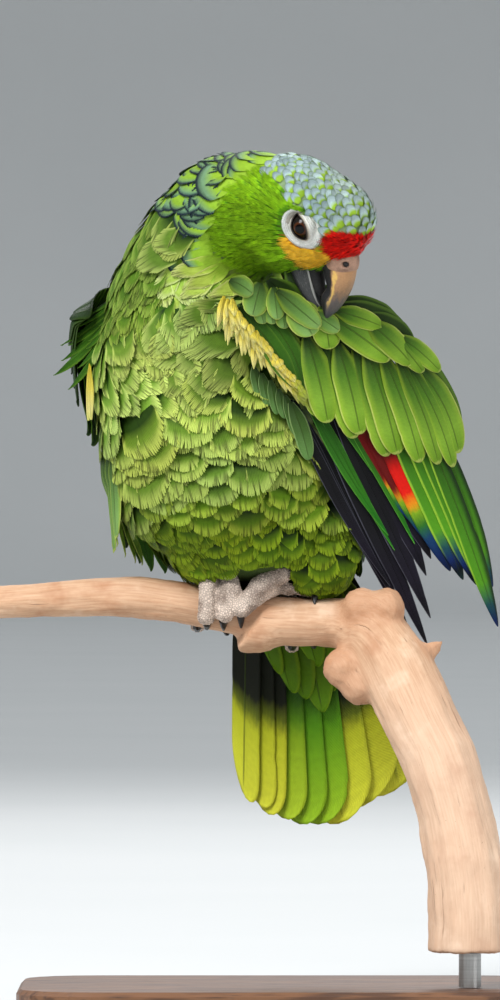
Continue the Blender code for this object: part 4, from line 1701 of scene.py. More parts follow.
# --- coat ---
@dataclass(frozen=True)
class Vane:
    """One unit-sized small feather: strips that fan from the shaft, apart near their tips.

    Attributes:
        strips: Strips across the feather.
        rows: Rows along a strip.
        split: Where strips part, as a share of the length: 1 keeps them joined.
        rounding: How much shorter the outer strips are.
        teeth: Barb ends on each strip.
        tooth: Length of the barb ends.
        root: Width at the root, as a share of the full width.
        ragged: How uneven the strips' ends are.
        gather: How much a strip narrows to its end once it is apart.
        flank: How much the sides count as free edge; the end always does.
    """

    strips: int
    rows: int
    split: float
    rounding: float
    teeth: int = 0
    tooth: float = 0.05
    root: float = 0.35
    ragged: float = 0.03
    gather: float = 0.88
    flank: float = 1.0

    def width(self, along: float) -> float:
        """Half the width at a share of the length."""
        return 0.5 * (self.root + (1 - self.root) * math.sin(min(along / 0.62, 1.0) * math.pi / 2))

    def build(self, name: str, seed: int) -> bpy.types.Object:
        """Builds the vane with its own coordinates, edge and stand values.

        Args:
            name: The object's name; the order of names is the order of kinds.
            seed: What its unevenness is drawn from.

        Returns:
            The object, in metres, one metre long, outside any scene.
        """
        rng = np.random.default_rng(seed)
        points, faces, coords, edges, stands = [], [], [], [], []

        def add(x: float, y: float, u: float, v: float, edge: float) -> int:
            """Adds a point.

            Args:
                x: Its place across.
                y: Its place along.
                u: Its coordinate across.
                v: Its coordinate along.
                edge: How near it is to the free edge.

            Returns:
                Its number.
            """
            points.append((x, y, 0.0))
            coords.append((u, v))
            edges.append(edge)
            stands.append(v**0.85 * (1 - 0.16 * (2 * u - 1) ** 2))
            return len(points) - 1

        jitter = rng.normal(0, self.ragged, self.strips)
        middles = (np.arange(self.strips) + 0.5) / self.strips * 2 - 1
        clump = np.cumsum(rng.random(self.strips) < 0.4)
        cling = np.array([middles[clump == number].mean() for number in clump]) - middles
        bend = rng.uniform(-0.05, 0.05)
        for strip in range(self.strips):
            middle = middles[strip]
            previous = None
            for row in range(self.rows + 1):
                t = row / self.rows
                apart = max(0.0, (t - self.split) / (1 - self.split)) if self.split < 1 else 0.0
                ring = []
                for corner in (0, 1):
                    side = (strip + corner) / self.strips * 2 - 1
                    side = side + (middle - side) * self.gather * apart**1.3 + 0.22 * cling[strip] * apart
                    end = 1 - self.rounding * abs(side) ** 2.2 + (jitter[strip] if apart > 0 else 0.0)
                    y = t * end
                    x = side * self.width(t) + bend * t * t + 0.03 * side * apart
                    edge = max(t, self.flank * abs(side) ** 1.5 * min(1.0, t * 1.6))
                    ring.append(add(x, y, side / 2 + 0.5, t, edge))
                if previous:
                    faces.append((previous[0], previous[1], ring[1], ring[0]))
                previous = ring
            self.add_teeth(add, faces, points, coords, previous, rng)
        values = {"edge": np.array(edges), "stand": np.array(stands)}
        shape = Shape(np.array(points) / MM, faces, values, {"vane": np.array(coords)})
        return bpy.data.objects.new(name, shape.mesh(name))

    def add_teeth(
        self, add: Callable, faces: list, points: list, coords: list, end: list[int],
        rng: np.random.Generator,
    ) -> None:
        """Adds the barb ends past a strip's last row.

        Args:
            add: Adds a point.
            faces: Where the faces go.
            points: The points so far.
            coords: Their coordinates.
            end: The numbers of the last row's two points.
            rng: What the ends' lengths are drawn from.
        """
        (x0, y0, _), (x1, y1, _) = points[end[0]], points[end[1]]
        (u0, v0), (u1, _) = coords[end[0]], coords[end[1]]
        for tooth in range(self.teeth):
            a, b = (tooth + 0.05) / self.teeth, (tooth + 0.72) / self.teeth
            long = self.tooth * rng.uniform(0.7, 1.3)
            lean = (u0 + (u1 - u0) * (a + b) / 2 - 0.5) * 1.1
            low = add(x0 + (x1 - x0) * a, y0 + (y1 - y0) * a - 0.004, u0 + (u1 - u0) * a, v0, 1.0)
            high = add(x0 + (x1 - x0) * b, y0 + (y1 - y0) * b - 0.004, u0 + (u1 - u0) * b, v0, 1.0)
            middle = (a + b) / 2
            top = add(
                x0 + (x1 - x0) * middle + long * lean, y0 + (y1 - y0) * middle + long,
                u0 + (u1 - u0) * middle, min(1.0, v0 + long), 1.12,
            )
            faces.append((low, high, top))


VANES = {
    "scale": Vane(8, 5, 1.0, 0.36, 0, 0.0, 0.5, 0.0),
    "hair": Vane(3, 3, 0.3, 0.22, 0, 0.0, 0.5, 0.12),
    "body": Vane(10, 7, 1.0, 0.32, 2, 0.04, 0.4, 0.0),
    "bar": Vane(12, 7, 1.0, 0.24, 2, 0.03, 0.5, 0.0, flank=0.8),
    "plume": Vane(16, 9, 0.86, 0.42, 1, 0.018, 0.32, 0.006, 0.26),
    "breast": Vane(24, 9, 0.86, 0.32, 1, 0.022, 0.42, 0.006, 0.26),
}
VARIANTS = 3


class CoatTree(Tree):
    """The node tree that lays a vane over the skin at every root."""

    def __init__(self) -> None:
        """Builds the tree: instances on roots, made real, draped at their height over the skin."""
        super().__init__("coat_over_skin", Roots="Geometry", Skin="Object", Vanes="Collection",
                         Patch="Float", Seed="Int", Sway="Float")
        given, named, one, vectors = self.given, self.named, self.one, self.vectors
        drawn = {2: given("Sway") * -1.0, 3: given("Sway"), "Seed": given("Seed")}
        sway = one("FunctionNodeRandomValue", {"data_type": "FLOAT"}, drawn, 1)
        beside = vectors("CROSS_PRODUCT", named("facing"), named("lie"))
        lie = vectors("ADD", named("lie"), vectors("SCALE", beside, by=sway))
        axes = {"primary_axis": "Z", "secondary_axis": "Y"}
        ways = {"Primary Axis": named("facing"), "Secondary Axis": lie}
        placed = one(
            "GeometryNodeInstanceOnPoints", {},
            {"Points": given("Roots"), "Pick Instance": True, "Instance Index": named("kind", "INT"),
             "Instance": one("GeometryNodeCollectionInfo", {}, {0: given("Vanes"), 1: True, 2: True}),
             "Rotation": one("FunctionNodeAxesToRotation", axes, ways), "Scale": named("size")},
        )
        real = one("GeometryNodeRealizeInstances", {}, {0: placed})
        skin = one("GeometryNodeObjectInfo", {}, {0: given("Skin")}, "Geometry")
        nearest = one("GeometryNodeProximity", {}, {0: skin}, "Position")
        sampled = {0: skin, 1: named("outward")}
        outwards = one("GeometryNodeSampleNearestSurface", {"data_type": "FLOAT_VECTOR"}, sampled)
        roll = (one("ShaderNodeSeparateXYZ", {}, {0: named("vane")}) - 0.5) * named("roll", "FLOAT")
        height = named("stand", "FLOAT") * named("lift", "FLOAT") + named("under", "FLOAT") + roll
        laid = vectors("ADD", nearest, vectors("SCALE", outwards, by=height))
        draped = one("GeometryNodeSetPosition", {}, {"Geometry": real, "Position": laid})
        local = vectors("SCALE", vectors("SUBTRACT", named("vane"), (0.5, 0.5, 0.0)), by=given("Patch"))
        self.end(one(
            "GeometryNodeStoreNamedAttribute", {"data_type": "FLOAT2", "domain": "CORNER"},
            {"Geometry": draped, "Name": "OFBake", "Value": vectors("ADD", named("root_uv"), local)},
        ))


@dataclass
class Roots:
    """Places where feathers grow, with what each feather needs to know."""

    points: Array
    normals: Array
    tracts: Array

    def only(self, keep: Array) -> "Roots":
        """The roots that keep picks."""
        return Roots(self.points[keep], self.normals[keep], self.tracts[keep])


@dataclass
class Scatter:
    """Spreads roots over the skin at each tract's spacing, wider across the lie than along it.

    Attributes:
        skin: The skin.
        markings: Where each tract lies.
        lie: The way the coat runs.
        count: Places that are tried.
        seed: What they are drawn from.
        fine: Up to this spacing, roots are as far apart along the lie as across it.
        along: The share of the spacing along the lie.
        across: The share of it across the lie.
    """

    skin: Skin
    markings: Markings
    lie: Lie
    count: int = 80000
    seed: int = SEED
    fine: float = 3.5
    along: float = 0.66
    across: float = 1.36

    def spacing(self, tracts: Array) -> Array:
        """Mean distance between roots for each tract; bare places get none."""
        table = np.array([DRESSES[tract].space if tract in DRESSES else 0.0 for tract in Tract])
        return table[tracts]

    def candidates(self, rng: np.random.Generator) -> tuple[Array, Array]:
        """Random places on the skin, more of them over the finely feathered head, with normals.

        Args:
            rng: What the places are drawn from.

        Returns:
            The places and the normals.
        """
        mesh = self.skin.object.data
        mesh.calc_loop_triangles()
        corners = np.zeros(len(mesh.loop_triangles) * 3, np.int32)
        mesh.loop_triangles.foreach_get("vertices", corners)
        corners = self.skin.points[corners.reshape(-1, 3)]
        normals = np.cross(corners[:, 1] - corners[:, 0], corners[:, 2] - corners[:, 0])
        area = np.linalg.norm(normals, axis=1)
        space = np.maximum(self.spacing(self.markings.tracts(corners.mean(1))), 1.1)
        chance = area / space**2
        picked = rng.choice(len(corners), self.count, p=chance / chance.sum())
        a, b = rng.random((2, self.count))
        turned = a + b > 1
        a, b = np.where(turned, 1 - a, a)[:, None], np.where(turned, 1 - b, b)[:, None]
        chosen = corners[picked]
        places = chosen[:, 0] + (chosen[:, 1] - chosen[:, 0]) * a + (chosen[:, 2] - chosen[:, 0]) * b
        return places, unit(normals[picked])

    def seen(self, places: Array, ways: Array) -> Array:
        """Each root's tract, by where its feather's outer part lies; none where it would cover the eye.

        Args:
            places: Roots.
            ways: The lie at each.

        Returns:
            Tract values.
        """
        local = self.markings.axes.local(places)
        reach = 3.4 + 3.0 * smooth(34, 56, np.linalg.norm(local, axis=1))
        tracts = self.markings.tracts(places + ways * reach[:, None])
        tip = self.markings.axes.local(places + ways * 4.6)
        blocked = (self.markings.ring_reach(local) < 0.98) | (self.markings.ring_reach(tip) < 0.90)
        blocked |= (self.markings.tracts(places) == Tract.BARE.value) | (self.markings.room(places) < 4.5)
        return np.where(blocked, Tract.BARE.value, tracts)

    def spread(self) -> Roots:
        """Throws darts and keeps those that are far enough from the ones before.

        Returns:
            The roots, in the order in which they were kept.
        """
        rng = np.random.default_rng(self.seed)
        places, normals = self.candidates(rng)
        ways = self.lie.directions(places, normals)
        tracts = self.seen(places, ways)
        space = self.spacing(tracts)
        coarse = (space > self.fine)[:, None]
        wide = space[:, None] * np.where(coarse, (self.along, self.across), (1.0, 1.0))
        kept: list[int] = []
        taken = np.zeros_like(places)
        for row in np.nonzero(space > 0)[0]:
            away = taken[: len(kept)] - places[row]
            along = away @ ways[row]
            across = np.maximum(np.einsum("ij,ij->i", away, away) - along * along, 0)
            if not np.any((along / wide[row, 0]) ** 2 + across / wide[row, 1] ** 2 < 1):
                taken[len(kept)] = places[row]
                kept.append(row)
        picked = np.array(kept)
        points, facing = self.skin.onto(places[picked])
        return Roots(points, facing, tracts[picked])


@dataclass
class Coat:
    """The small feathers, laid tract by tract with one node tree.

    Attributes:
        patch: The size of a feather's place on the skin's unwrap.
        sway: How far a feather may lean to a side.
        uneven_size: How much sizes differ.
        uneven_lift: How much tips differ in height.
        uneven_roll: How much feathers roll about their shafts.
        uneven_hem: How much the hem's feathers differ in length, in millimetres.
        under: How far every root stands over the skin, and how much more at most.
        warmth: What a warm patch's red, green and blue are multiplied by.
    """

    skin: Skin
    markings: Markings
    lie: Lie
    patch: float = 0.003
    sway: float = 0.12
    uneven_size: float = 0.10
    uneven_lift: float = 0.14
    uneven_roll: float = 0.045
    uneven_hem: float = 1.2
    under: tuple[float, float] = (0.25, 0.25)
    warmth: Triple = (1.10, 1.0, 0.85)

    def grow(self) -> list[bpy.types.Object]:
        """Grows every tract's feathers.

        Returns:
            The finished pieces.
        """
        self.tree = CoatTree()
        self.vanes, self.first = self.cut_vanes()
        roots = Scatter(self.skin, self.markings, self.lie).spread()
        LOG.info("%d roots", len(roots.points))
        groups = (
            ("crown_scales", (Tract.CROWN,)),
            ("face_tufts", (Tract.FOREHEAD, Tract.LORE, Tract.CHEEK)),
            ("nape_feathers", (Tract.NAPE, Tract.MANTLE)),
            ("breast_streams", (Tract.STREAM, Tract.THROAT)),
            ("breast_feathers", (Tract.BREAST,)),
            ("belly_feathers", (Tract.BELLY, Tract.THIGH)),
            ("back_feathers", (Tract.BACK,)),
        )
        finish = SmallFeather("contour_feather").build()
        pieces = []
        for name, tracts in groups:
            picked = np.isin(roots.tracts, [tract.value for tract in tracts])
            pieces.append(self.lay(name, roots.only(picked), finish))
        for vane in self.vanes.objects[:]:
            bpy.data.objects.remove(vane)
        bpy.data.collections.remove(self.vanes)
        return pieces

    @staticmethod
    def cut_vanes() -> tuple[bpy.types.Collection, dict[str, int]]:
        """Cuts the vanes into a collection; gives each cut's first number.

        Returns:
            The collection and the first numbers by cut.
        """
        collection = bpy.data.collections.new("vanes")
        first = {}
        for number, (name, vane) in enumerate(VANES.items()):
            first[name] = number * VARIANTS
            for variant in range(VARIANTS):
                collection.objects.link(vane.build(f"vane_{number}_{variant}", SEED + 10 * number + variant))
        return collection, first

    def attributes(self, roots: Roots) -> dict[str, Array]:
        """What the tree and the finish read from each root.

        Args:
            roots: The roots of one piece.

        Returns:
            Values by name, one row for each root.
        """
        rng = np.random.default_rng(SEED + len(roots.points))
        count = len(roots.points)
        dresses = [DRESSES[Tract(value)] for value in roots.tracts]

        def each(name: str) -> Array:
            """One field of its dress for each root."""
            return np.array([getattr(dress, name) for dress in dresses], float)

        luck = rng.normal(0, 1, count)
        # Random lightness for each feather, times the painted shade and highlight of Markings.shade.
        light = ((1 + each("vary") * luck) * self.markings.shade(roots.points))[:, None]
        warm = np.array(self.warmth) ** ripple(roots.points, 14.0, 3.0)[:, None]

        def coloured(name: str) -> Array:
            """One colour for each root, with its random lightness, painted shade and warmth."""
            colour = each(name)
            colour[:, :3] = np.clip(colour[:, :3] * light * warm, 0, 1)
            return colour

        scale = 1 + self.uneven_size * rng.normal(0, 1, count)[:, None]
        width = each("width")
        size = np.stack([width, each("length"), np.ones(count)], 1) * scale * MM
        size[:, 2] = 1.0
        lie = self.lie.directions(roots.points, roots.normals)
        room = (self.markings.room(roots.points) + rng.normal(0, self.uneven_hem, count)) * MM
        room = room / np.maximum(-lie[:, 2], 0.3)
        size[:, 1] = np.minimum(size[:, 1], np.maximum(room, 0.25 * size[:, 1]))
        kinds = np.array([self.first[dress.cut] for dress in dresses]) + rng.integers(0, VARIANTS, count)
        facts = np.stack([each("band"), each("edging"), rng.random(count)], 1)
        facts[:, 0] += rng.normal(0, 0.05, count)
        uv = np.concatenate([self.skin.unwrapped(roots.points), np.zeros((count, 1))], 1)
        return {
            "facing": roots.normals,
            "lie": lie,
            "size": size,
            "near": coloured("near"),
            "far": coloured("far"),
            "rim": coloured("rim"),
            "facts": facts,
            "root_uv": uv,
            "lift": each("lift") * (1 + self.uneven_lift * rng.normal(0, 1, count)) * MM,
            "under": (self.under[0] + self.under[1] * rng.random(count)) * MM,
            "roll": rng.normal(0, self.uneven_roll, count) * width * MM,
            "kind": kinds,
        }

    def lay(self, name: str, roots: Roots, finish: bpy.types.Material) -> bpy.types.Object:
        """Lays one piece of the coat.

        Args:
            name: The piece's name.
            roots: Where its feathers grow.
            finish: Its material.

        Returns:
            The piece, a plain mesh.
        """
        obj = place(name, Shape(roots.points, [], self.attributes(roots)).mesh(name))
        self.tree.run(obj, Skin=self.skin.object, Vanes=self.vanes, Patch=self.patch, Seed=SEED,
                      Sway=self.sway, Finish=finish)
        return finished(obj, "plumage_green")


# --- large feathers ---
Path = Callable[[Array, Array], Array]
Lay = Callable[[Array, Array, Array], Array]


@dataclass(frozen=True)
class WingSheet:
    """The left wing's surface: it turns away from the wrist and bulges towards the front."""

    layer: float = 0.0
    wrist: Triple = (-9.0, -55.0, 316.0)
    turn: float = 0.61
    lean: float = 0.10
    camber: float = 5.0
    middle: float = 50.0
    half: float = 62.0

    def depth(self, x: Array, z: Array) -> Array:
        """How deep the sheet lies at x and z."""
        flat = self.wrist[1] + self.turn * (x - self.wrist[0]) + self.lean * (self.wrist[2] - z)
        return flat - self.camber * (1 - ((x - self.middle) / self.half) ** 2)

    def __call__(self, points: Array, raised: Array, down: Array) -> Array:
        """Lays points on the sheet, raised towards the front."""
        x, z = points[:, 0], points[:, 2]
        return np.stack([x, self.depth(x, z) - self.layer - raised, z], 1)


@dataclass(frozen=True)
class BesideBody:
    """The right wing's surface, outside an ellipsoid round the flank.

    Attributes:
        margin: How far outside it the feathers lie.
        over: The share of the length over which they come out to there.
        root: How far outside it their roots lie.
    """

    margin: float
    over: float = 0.3
    root: float = -1.5
    centre: Triple = (-17.0, 2.0, 272.0)
    axis: Triple = (-0.205, -0.147, 0.968)
    radii: Triple = (56.0, 51.0, 94.0)

    def __call__(self, points: Array, raised: Array, down: Array) -> Array:
        """Pushes points out to the surface, raised away from the body.

        Args:
            points: Places in millimetres.
            raised: How far each stands out.
            down: Each place's share of the feather's length.

        Returns:
            The places on the surface.
        """
        axis = unit(np.array(self.axis))
        ahead = np.array([0.0, 1.0, 0.0])
        ahead = unit(ahead - axis * (ahead @ axis))
        turn = np.array([np.cross(ahead, axis), ahead, axis])
        inside = (points - self.centre) @ turn.T
        # Roots start under the small feathers and come out over them.
        margin = self.root + (self.margin - self.root) * smooth(0.0, self.over, down)
        scaled = np.linalg.norm(inside / (np.array(self.radii) + margin[:, None]), axis=1)
        out = np.where(scaled < 1, 1 / np.maximum(scaled, 1e-6), 1.0)
        places = np.asarray(self.centre) + (inside * out[:, None]) @ turn
        return places + unit(places - self.centre) * raised[:, None]


@dataclass(frozen=True)
class Hanging:
    """The tail's surface, a little hollow across, between two depths."""

    root: float
    tip: float

    def __call__(self, points: Array, raised: Array, down: Array) -> Array:
        """Hangs points, raised towards the back."""
        hollow = 3.0 * ((points[:, 0] - 30) / 40) ** 2 * down
        depth = self.root + (self.tip - self.root) * down + hollow + raised
        return np.stack([points[:, 0], depth, points[:, 2]], 1)


@dataclass(frozen=True)
class Cut:
    """The outline and set of a large feather.

    Attributes:
        slant: How far one edge stands over the other, in millimetres; its sign says which.
        camber: How far the middle bulges.
        taper: Where the vane starts to narrow, as a share of the length.
        sharp: How pointed the tip is: 0.5 is round and 1 is a straight taper.
        uneven: How much lengths differ.
        curl: How far the tip lifts.
        rows: Rows of points along it.
        columns: Faces across it.
        gap: How long a split between barbs is, as a share of the length.
        deepest: How deep a split may be, as a share of the half width.
    """

    slant: float = 0.7
    camber: float = 0.6
    taper: float = 0.72
    sharp: float = 0.5
    uneven: float = 0.015
    curl: float = 0.0
    rows: int = 26
    columns: int = 8
    gap: float = 0.018
    deepest: float = 0.09

    def outline(self, along: Array) -> Array:
        """The vane's half width, from 0 to 1, at shares of its length."""
        grown = 0.30 + 0.70 * np.sin(np.clip(along / 0.4, 0, 1) * math.pi / 2)
        end = np.clip((along - self.taper) / (1 - self.taper), 0, 1)
        return grown * np.maximum(1 - end ** (1.1 / self.sharp), 0.0) ** self.sharp

    def shape(self, path: Path, lay: Lay, place_: float, rng: np.random.Generator) -> Shape:
        """One feather's front face.

        Args:
            path: Gives places for shares of the length and of the half width.
            lay: The surface that the feather lies on.
            place_: The feather's share across its row, which the finish reads.
            rng: What its unevenness is drawn from.

        Returns:
            The face, with its own coordinates.
        """
        steps = np.linspace(0, 1, self.rows + 1)
        along = 1 - (1 - steps) ** 1.35
        along[-1] = 0.9985
        across = np.linspace(-1, 1, self.columns + 1)
        width = self.outline(along)[:, None] * across[None]
        for side in (-1, 1):
            # A split between barbs is a short dip of one edge.
            where, deep = rng.uniform(0.45, 0.9), rng.uniform(0.0, self.deepest)
            dip = deep * np.exp(-(((along - where) / self.gap) ** 2))[:, None]
            width = width * (1 - dip * (across[None] * side > 0.7))
        reach = along[:, None] * (1 + rng.normal(0, self.uneven)) + 0 * width
        points = path(reach, width)
        lifted = -self.slant * across[None] * smooth(0.0, 0.3, along)[:, None]
        lifted = lifted + self.camber * (1 - across[None] ** 2) * self.outline(along)[:, None]
        lifted = lifted + self.curl * along[:, None] ** 2 + rng.normal(0, 0.1)
        flat = lay(points.reshape(-1, 3), lifted.ravel(), reach.ravel())
        shape = Shape.grid(flat.reshape(*points.shape))
        coords = np.broadcast_arrays(across[None] / 2 + 0.5, along[:, None])
        shape.uv["vane"] = np.stack(coords, -1).reshape(-1, 2)
        shape.values["place"] = np.full(len(flat), place_)
        shape.values["luck"] = np.full(len(flat), rng.random())
        return shape


@dataclass(frozen=True)
class FeatherRow:
    """A row of large feathers side by side between a curve of roots and a curve of tips.

    Attributes:
        count: Feathers in the row.
        root: The curve of the roots.
        tip: The curve of the tips.
        lay: The surface that it lies on.
        overlap: A feather's width over the distance to the next.
    """

    count: int
    root: tuple[Triple, Triple, Triple]
    tip: tuple[Triple, Triple, Triple]
    lay: Lay
    overlap: float = 1.35
    cut: Cut = Cut()

    def shapes(self, rng: np.random.Generator) -> list[Shape]:
        """Every feather of the row.

        Args:
            rng: What the feathers' sway is drawn from.

        Returns:
            The feathers' faces.
        """
        made = []
        for number in range(self.count):
            share = (number + 0.5) / self.count
            sway = rng.normal(0, 0.12) / self.count

            def path(reach: Array, width: Array) -> Array:
                """Gives places for shares of the length and of the half width."""
                places = share + width * self.overlap / (2 * self.count) + sway * reach**2
                return mix(bezier(self.root, places), bezier(self.tip, places), reach)

            made.append(self.cut.shape(path, self.lay, share, rng))
        return made


@dataclass(frozen=True)
class Quill:
    """One large feather of the left wing: root and tip are x and z in millimetres.

    Attributes:
        width: Its full width.
        layer: How far it stands in front of the wing's sheet.
        bow: How far its middle bends to the right of the straight line.
        place: The share across the wing that its finish reads.
    """

    root: tuple[float, float]
    tip: tuple[float, float]
    width: float
    layer: float
    bow: float = 0.0
    place: float = 0.5
    cut: Cut = Cut()

    def shapes(self, rng: np.random.Generator) -> list[Shape]:
        """The feather.

        Args:
            rng: What its unevenness is drawn from.

        Returns:
            The feather's face, alone in a list.
        """
        start = np.array([self.root[0], 0.0, self.root[1]])
        way = np.array([self.tip[0], 0.0, self.tip[1]]) - start
        side = unit(np.array([-way[2], 0.0, way[0]]))

        def path(reach: Array, width: Array) -> Array:
            """Gives places for shares of the length and of the half width."""
            bent = self.bow * np.sin(math.pi * reach) + width * self.width / 2
            return start + way * reach[..., None] + side * bent[..., None]

        return [self.cut.shape(path, WingSheet(self.layer), self.place, rng)]


def plumage(
    name: str, slot: str, web: Web, feathers: Sequence[FeatherRow | Quill], *nodes: str,
    thickness: float = 0.32,
) -> bpy.types.Object:
    """Makes one piece of large feathers, each a thin closed shell.

    Args:
        name: The piece's name.
        slot: Not used.
        web: How the feathers are coloured.
        feathers: Rows and single feathers.
        nodes: The solids that the piece stands for.
        thickness: How thick a vane is, in millimetres.

    Returns:
        The piece.
    """
    rng = np.random.default_rng(SEED + 7 * len(name) + len(feathers))
    shape = Shape.joined([part for feather in feathers for part in feather.shapes(rng)])
    obj = place(name, shape.mesh(name), LargeFeather(name + "_finish", web).build())
    modified(obj, "SOLIDIFY", thickness=thickness * MM, offset=0.0)
    outward(applied(obj))
    return finished(obj, slot, *nodes)


@dataclass(frozen=True)
class LeftWing:
    """The wing that hangs open in front: flight feathers, ranks of coverts, alula and the pale edge.

    Attributes:
        blade: How primaries are cut.
        flight: How secondaries, scapulars and the alula are cut.
        covert: How greater coverts are cut.
        round: How smaller coverts are cut.
        soft: How the hanging feathers are cut.
        tuft: How the edge's tufts are cut.
        layers: How far each rank of tufts stands in front of the wing's sheet.
        tufts: Tufts in a rank.
        start: The edge's inner end, x and z.
        run: The way from there to its outer end.
        longest: The inner tufts' length.
        shortening: How much shorter the outer ones are.
        tuft_width: A tuft's width.
    """

    blade: Cut = Cut(slant=0.4, camber=0.5, taper=0.5, sharp=0.8)
    flight: Cut = Cut(slant=0.5, camber=0.6, taper=0.66, sharp=0.72)
    covert: Cut = Cut(slant=0.7, camber=0.9, taper=0.66, sharp=0.5)
    round: Cut = Cut(slant=0.5, camber=1.0, taper=0.5, sharp=0.5)
    soft: Cut = Cut(slant=0.3, camber=0.6, taper=0.6, sharp=0.5)
    tuft: Cut = Cut(slant=0.2, camber=0.35, taper=0.45, sharp=0.85, rows=10, columns=4)
    layers: tuple[float, ...] = (5.0, 6.2, 7.4, 8.6)
    tufts: int = 26
    start: tuple[float, float] = (-11.0, 318.5)
    run: tuple[float, float] = (33.0, -41.0)
    longest: float = 16.0
    shortening: float = 6.5
    tuft_width: float = 3.3

    def build(self) -> None:
        """Builds the wing from the back to the front."""
        self.primaries()
        self.secondaries()
        self.coverts()
        self.edge()

    @staticmethod
    def group(
        name: str, slot: str, web: Web, cut: Cut, rows: Sequence[tuple[float, ...]], *nodes: str
    ) -> None:
        """Builds one piece of quills.

        Args:
            name: The piece's name.
            slot: Not used.
            web: How the feathers are coloured.
            cut: The feathers' outline.
            rows: For each feather, the root's x and z, the tip's, and its width, layer, bow and place.
            nodes: The solids that the piece stands for.
        """
        quills = [Quill(row[:2], row[2:4], *row[4:], cut=cut) for row in rows]
        plumage(name, slot, web, quills, *nodes)

    def primaries(self) -> None:
        """Slate-black outer feathers, some of them with a green web."""
        self.group("left_primaries", "primary_dark", Web.PRIMARY, self.blade, (
            (19, 273, 70, 174, 8.0, -1.2, 1.0), (30, 270, 80, 164, 9.5, -0.6, 1.0),
            (38, 268, 81.5, 176, 10.0, 0.0, 1.0), (44, 266, 80, 194, 11.0, -0.4, 1.5),
            (50, 264, 82, 202, 12.0, -0.2, 1.0), (31, 280, 52, 236, 12.0, -1.0),
            (18, 274, 63.5, 190, 5.6, 1.4, -2.2), (20, 274, 65.5, 184, 5.0, 0.6, -1.8),
        ), "wing_left_primaries")
        self.group("left_primary_webs", "flight_green", Web.ALULA, self.blade, (
            (26, 272, 62.5, 213, 5.0, 1.0, -1.0, 0.2), (30, 271, 65, 207, 4.4, 0.6, -0.4, 0.4),
            (36, 270, 67, 226, 4.0, 0.9, 1.0, 0.6), (42, 266, 74, 210, 3.4, 1.2, 1.0, 0.3),
        ))

    def secondaries(self) -> None:
        """Red at the base, then yellow, green and blue; the inner ones green to their blue tips."""
        self.group("left_secondaries", "flight_green", Web.SECONDARY, self.flight, (
            (45, 270, 79, 214, 11.0, 1.2, 0.5, 0.1), (49, 270, 85, 206, 11.0, 1.6, 0.5, 0.2),
            (55, 270, 91, 196, 12.0, 2.0, 0.8, 0.3), (61, 270, 96, 194, 10.5, 2.5, 1.0, 0.6),
            (66, 271, 102, 192, 10.0, 3.0, 1.0, 0.7), (70, 272, 108, 184, 9.0, 3.4, 1.2, 0.8),
            (74, 272, 111.5, 174.5, 8.5, 3.8, 1.6, 0.9), (78, 272, 110, 190, 7.0, 2.4, 2.5, 1.0),
        ), "wing_left_secondaries")

    def coverts(self) -> None:
        """The three ranks of coverts, the scapulars behind them, dark as painted shadow, and the alula."""
        self.group("left_greater_coverts", "covert_green", Web.COVERT, self.covert, (
            (17, 304, 31, 266, 11.0, 4.0, 1.0), (25, 302, 34.8, 264, 13.5, 5.0, 0.8),
            (33, 298, 46.8, 256.7, 12.0, 4.0, 1.0), (39, 299, 49.4, 258.2, 13.5, 5.2, 0.8),
            (47, 297, 61.2, 250, 12.0, 4.2, 1.0), (52, 297, 66.4, 249, 13.5, 5.4, 1.0),
            (59, 295, 76.4, 246.4, 11.5, 5.8, 1.5), (66, 293, 85, 244.8, 9.5, 6.0, 2.0),
            (70, 292, 92, 243, 8.5, 5.6, 2.5), (73, 292, 94.5, 250, 11.0, 4.6, 3.5),
        ), "wing_left_greater_coverts")
        self.group("left_median_coverts", "covert_green", Web.COVERT, self.round, (
            (32.5, 316, 35.4, 297, 13.5, 7.0, 0.0), (36, 311, 62.9, 292.2, 13.5, 7.6, 0.8),
            (38, 314, 59.5, 307, 9.0, 8.2, 0.5), (53, 309, 72.9, 290.2, 12.0, 8.0, 0.8),
            (62, 304, 78, 286.6, 9.0, 7.6, 0.8), (66, 303, 85.4, 287.4, 8.5, 7.2, 1.0),
        ), "wing_left_median_coverts")
        self.group("left_lesser_coverts", "covert_green", Web.COVERT, self.round, (
            (14, 314, 15.4, 306.0, 7.0, 8.0, 0.0, 0.0), (9, 316, 10.0, 307.8, 6.5, 8.2, 0.0, 0.0),
            (4, 316, 6.0, 308.0, 7.0, 8.4, 0.0, 0.0), (20, 318, 28.0, 302.4, 15.0, 9.0, 0.0, 0.0),
            (10.5, 324, 12.2, 309.4, 8.5, 9.6, 0.0, 0.0), (4.5, 326, 1.0, 311.2, 12.0, 10.0, 0.0, 0.0),
            (12, 322.5, 31.2, 306.6, 10.5, 10.4, 0.0, 0.0), (-9, 327, 1.0, 321.2, 9.0, 11.0, 0.6, 0.0),
            (28, 313, 40, 305, 9.0, 8.6, 0.0, 0.0),
        ))
        # The scapulars are dark feathers set in the shade between the coverts and the body: painted shadow.
        self.group("left_scapulars", "flight_green", Web.FOLDED, self.flight, (
            (38, 316, 71, 305.2, 10.0, 3.4, 2.0), (40, 319, 67.5, 309, 8.0, 2.6, 2.0),
            (50, 312, 74, 300, 9.0, 4.6, 2.0), (60, 306, 90, 262, 13.0, 3.2, 4.5),
            (64, 304, 95, 252, 12.0, 2.8, 5.0), (8, 327.5, 29, 306, 13.0, 2.4, 1.0),
            (24, 326, 44, 308, 12.0, 2.8, 1.0), (17, 336, 27, 312, 10.0, 1.0),
            (36, 310, 50, 272, 15.0, 3.0),
        ))
        self.group("left_alula", "flight_green", Web.MANTLE, self.flight, (
            (-5, 315, 21, 278.5, 10.5, 6.6, 2.0), (-4, 317, 23.5, 276.5, 9.0, 6.0, 3.0),
            (-2, 318, 24.5, 280, 9.0, 5.6, 4.5),
        ), "wing_left_alula")

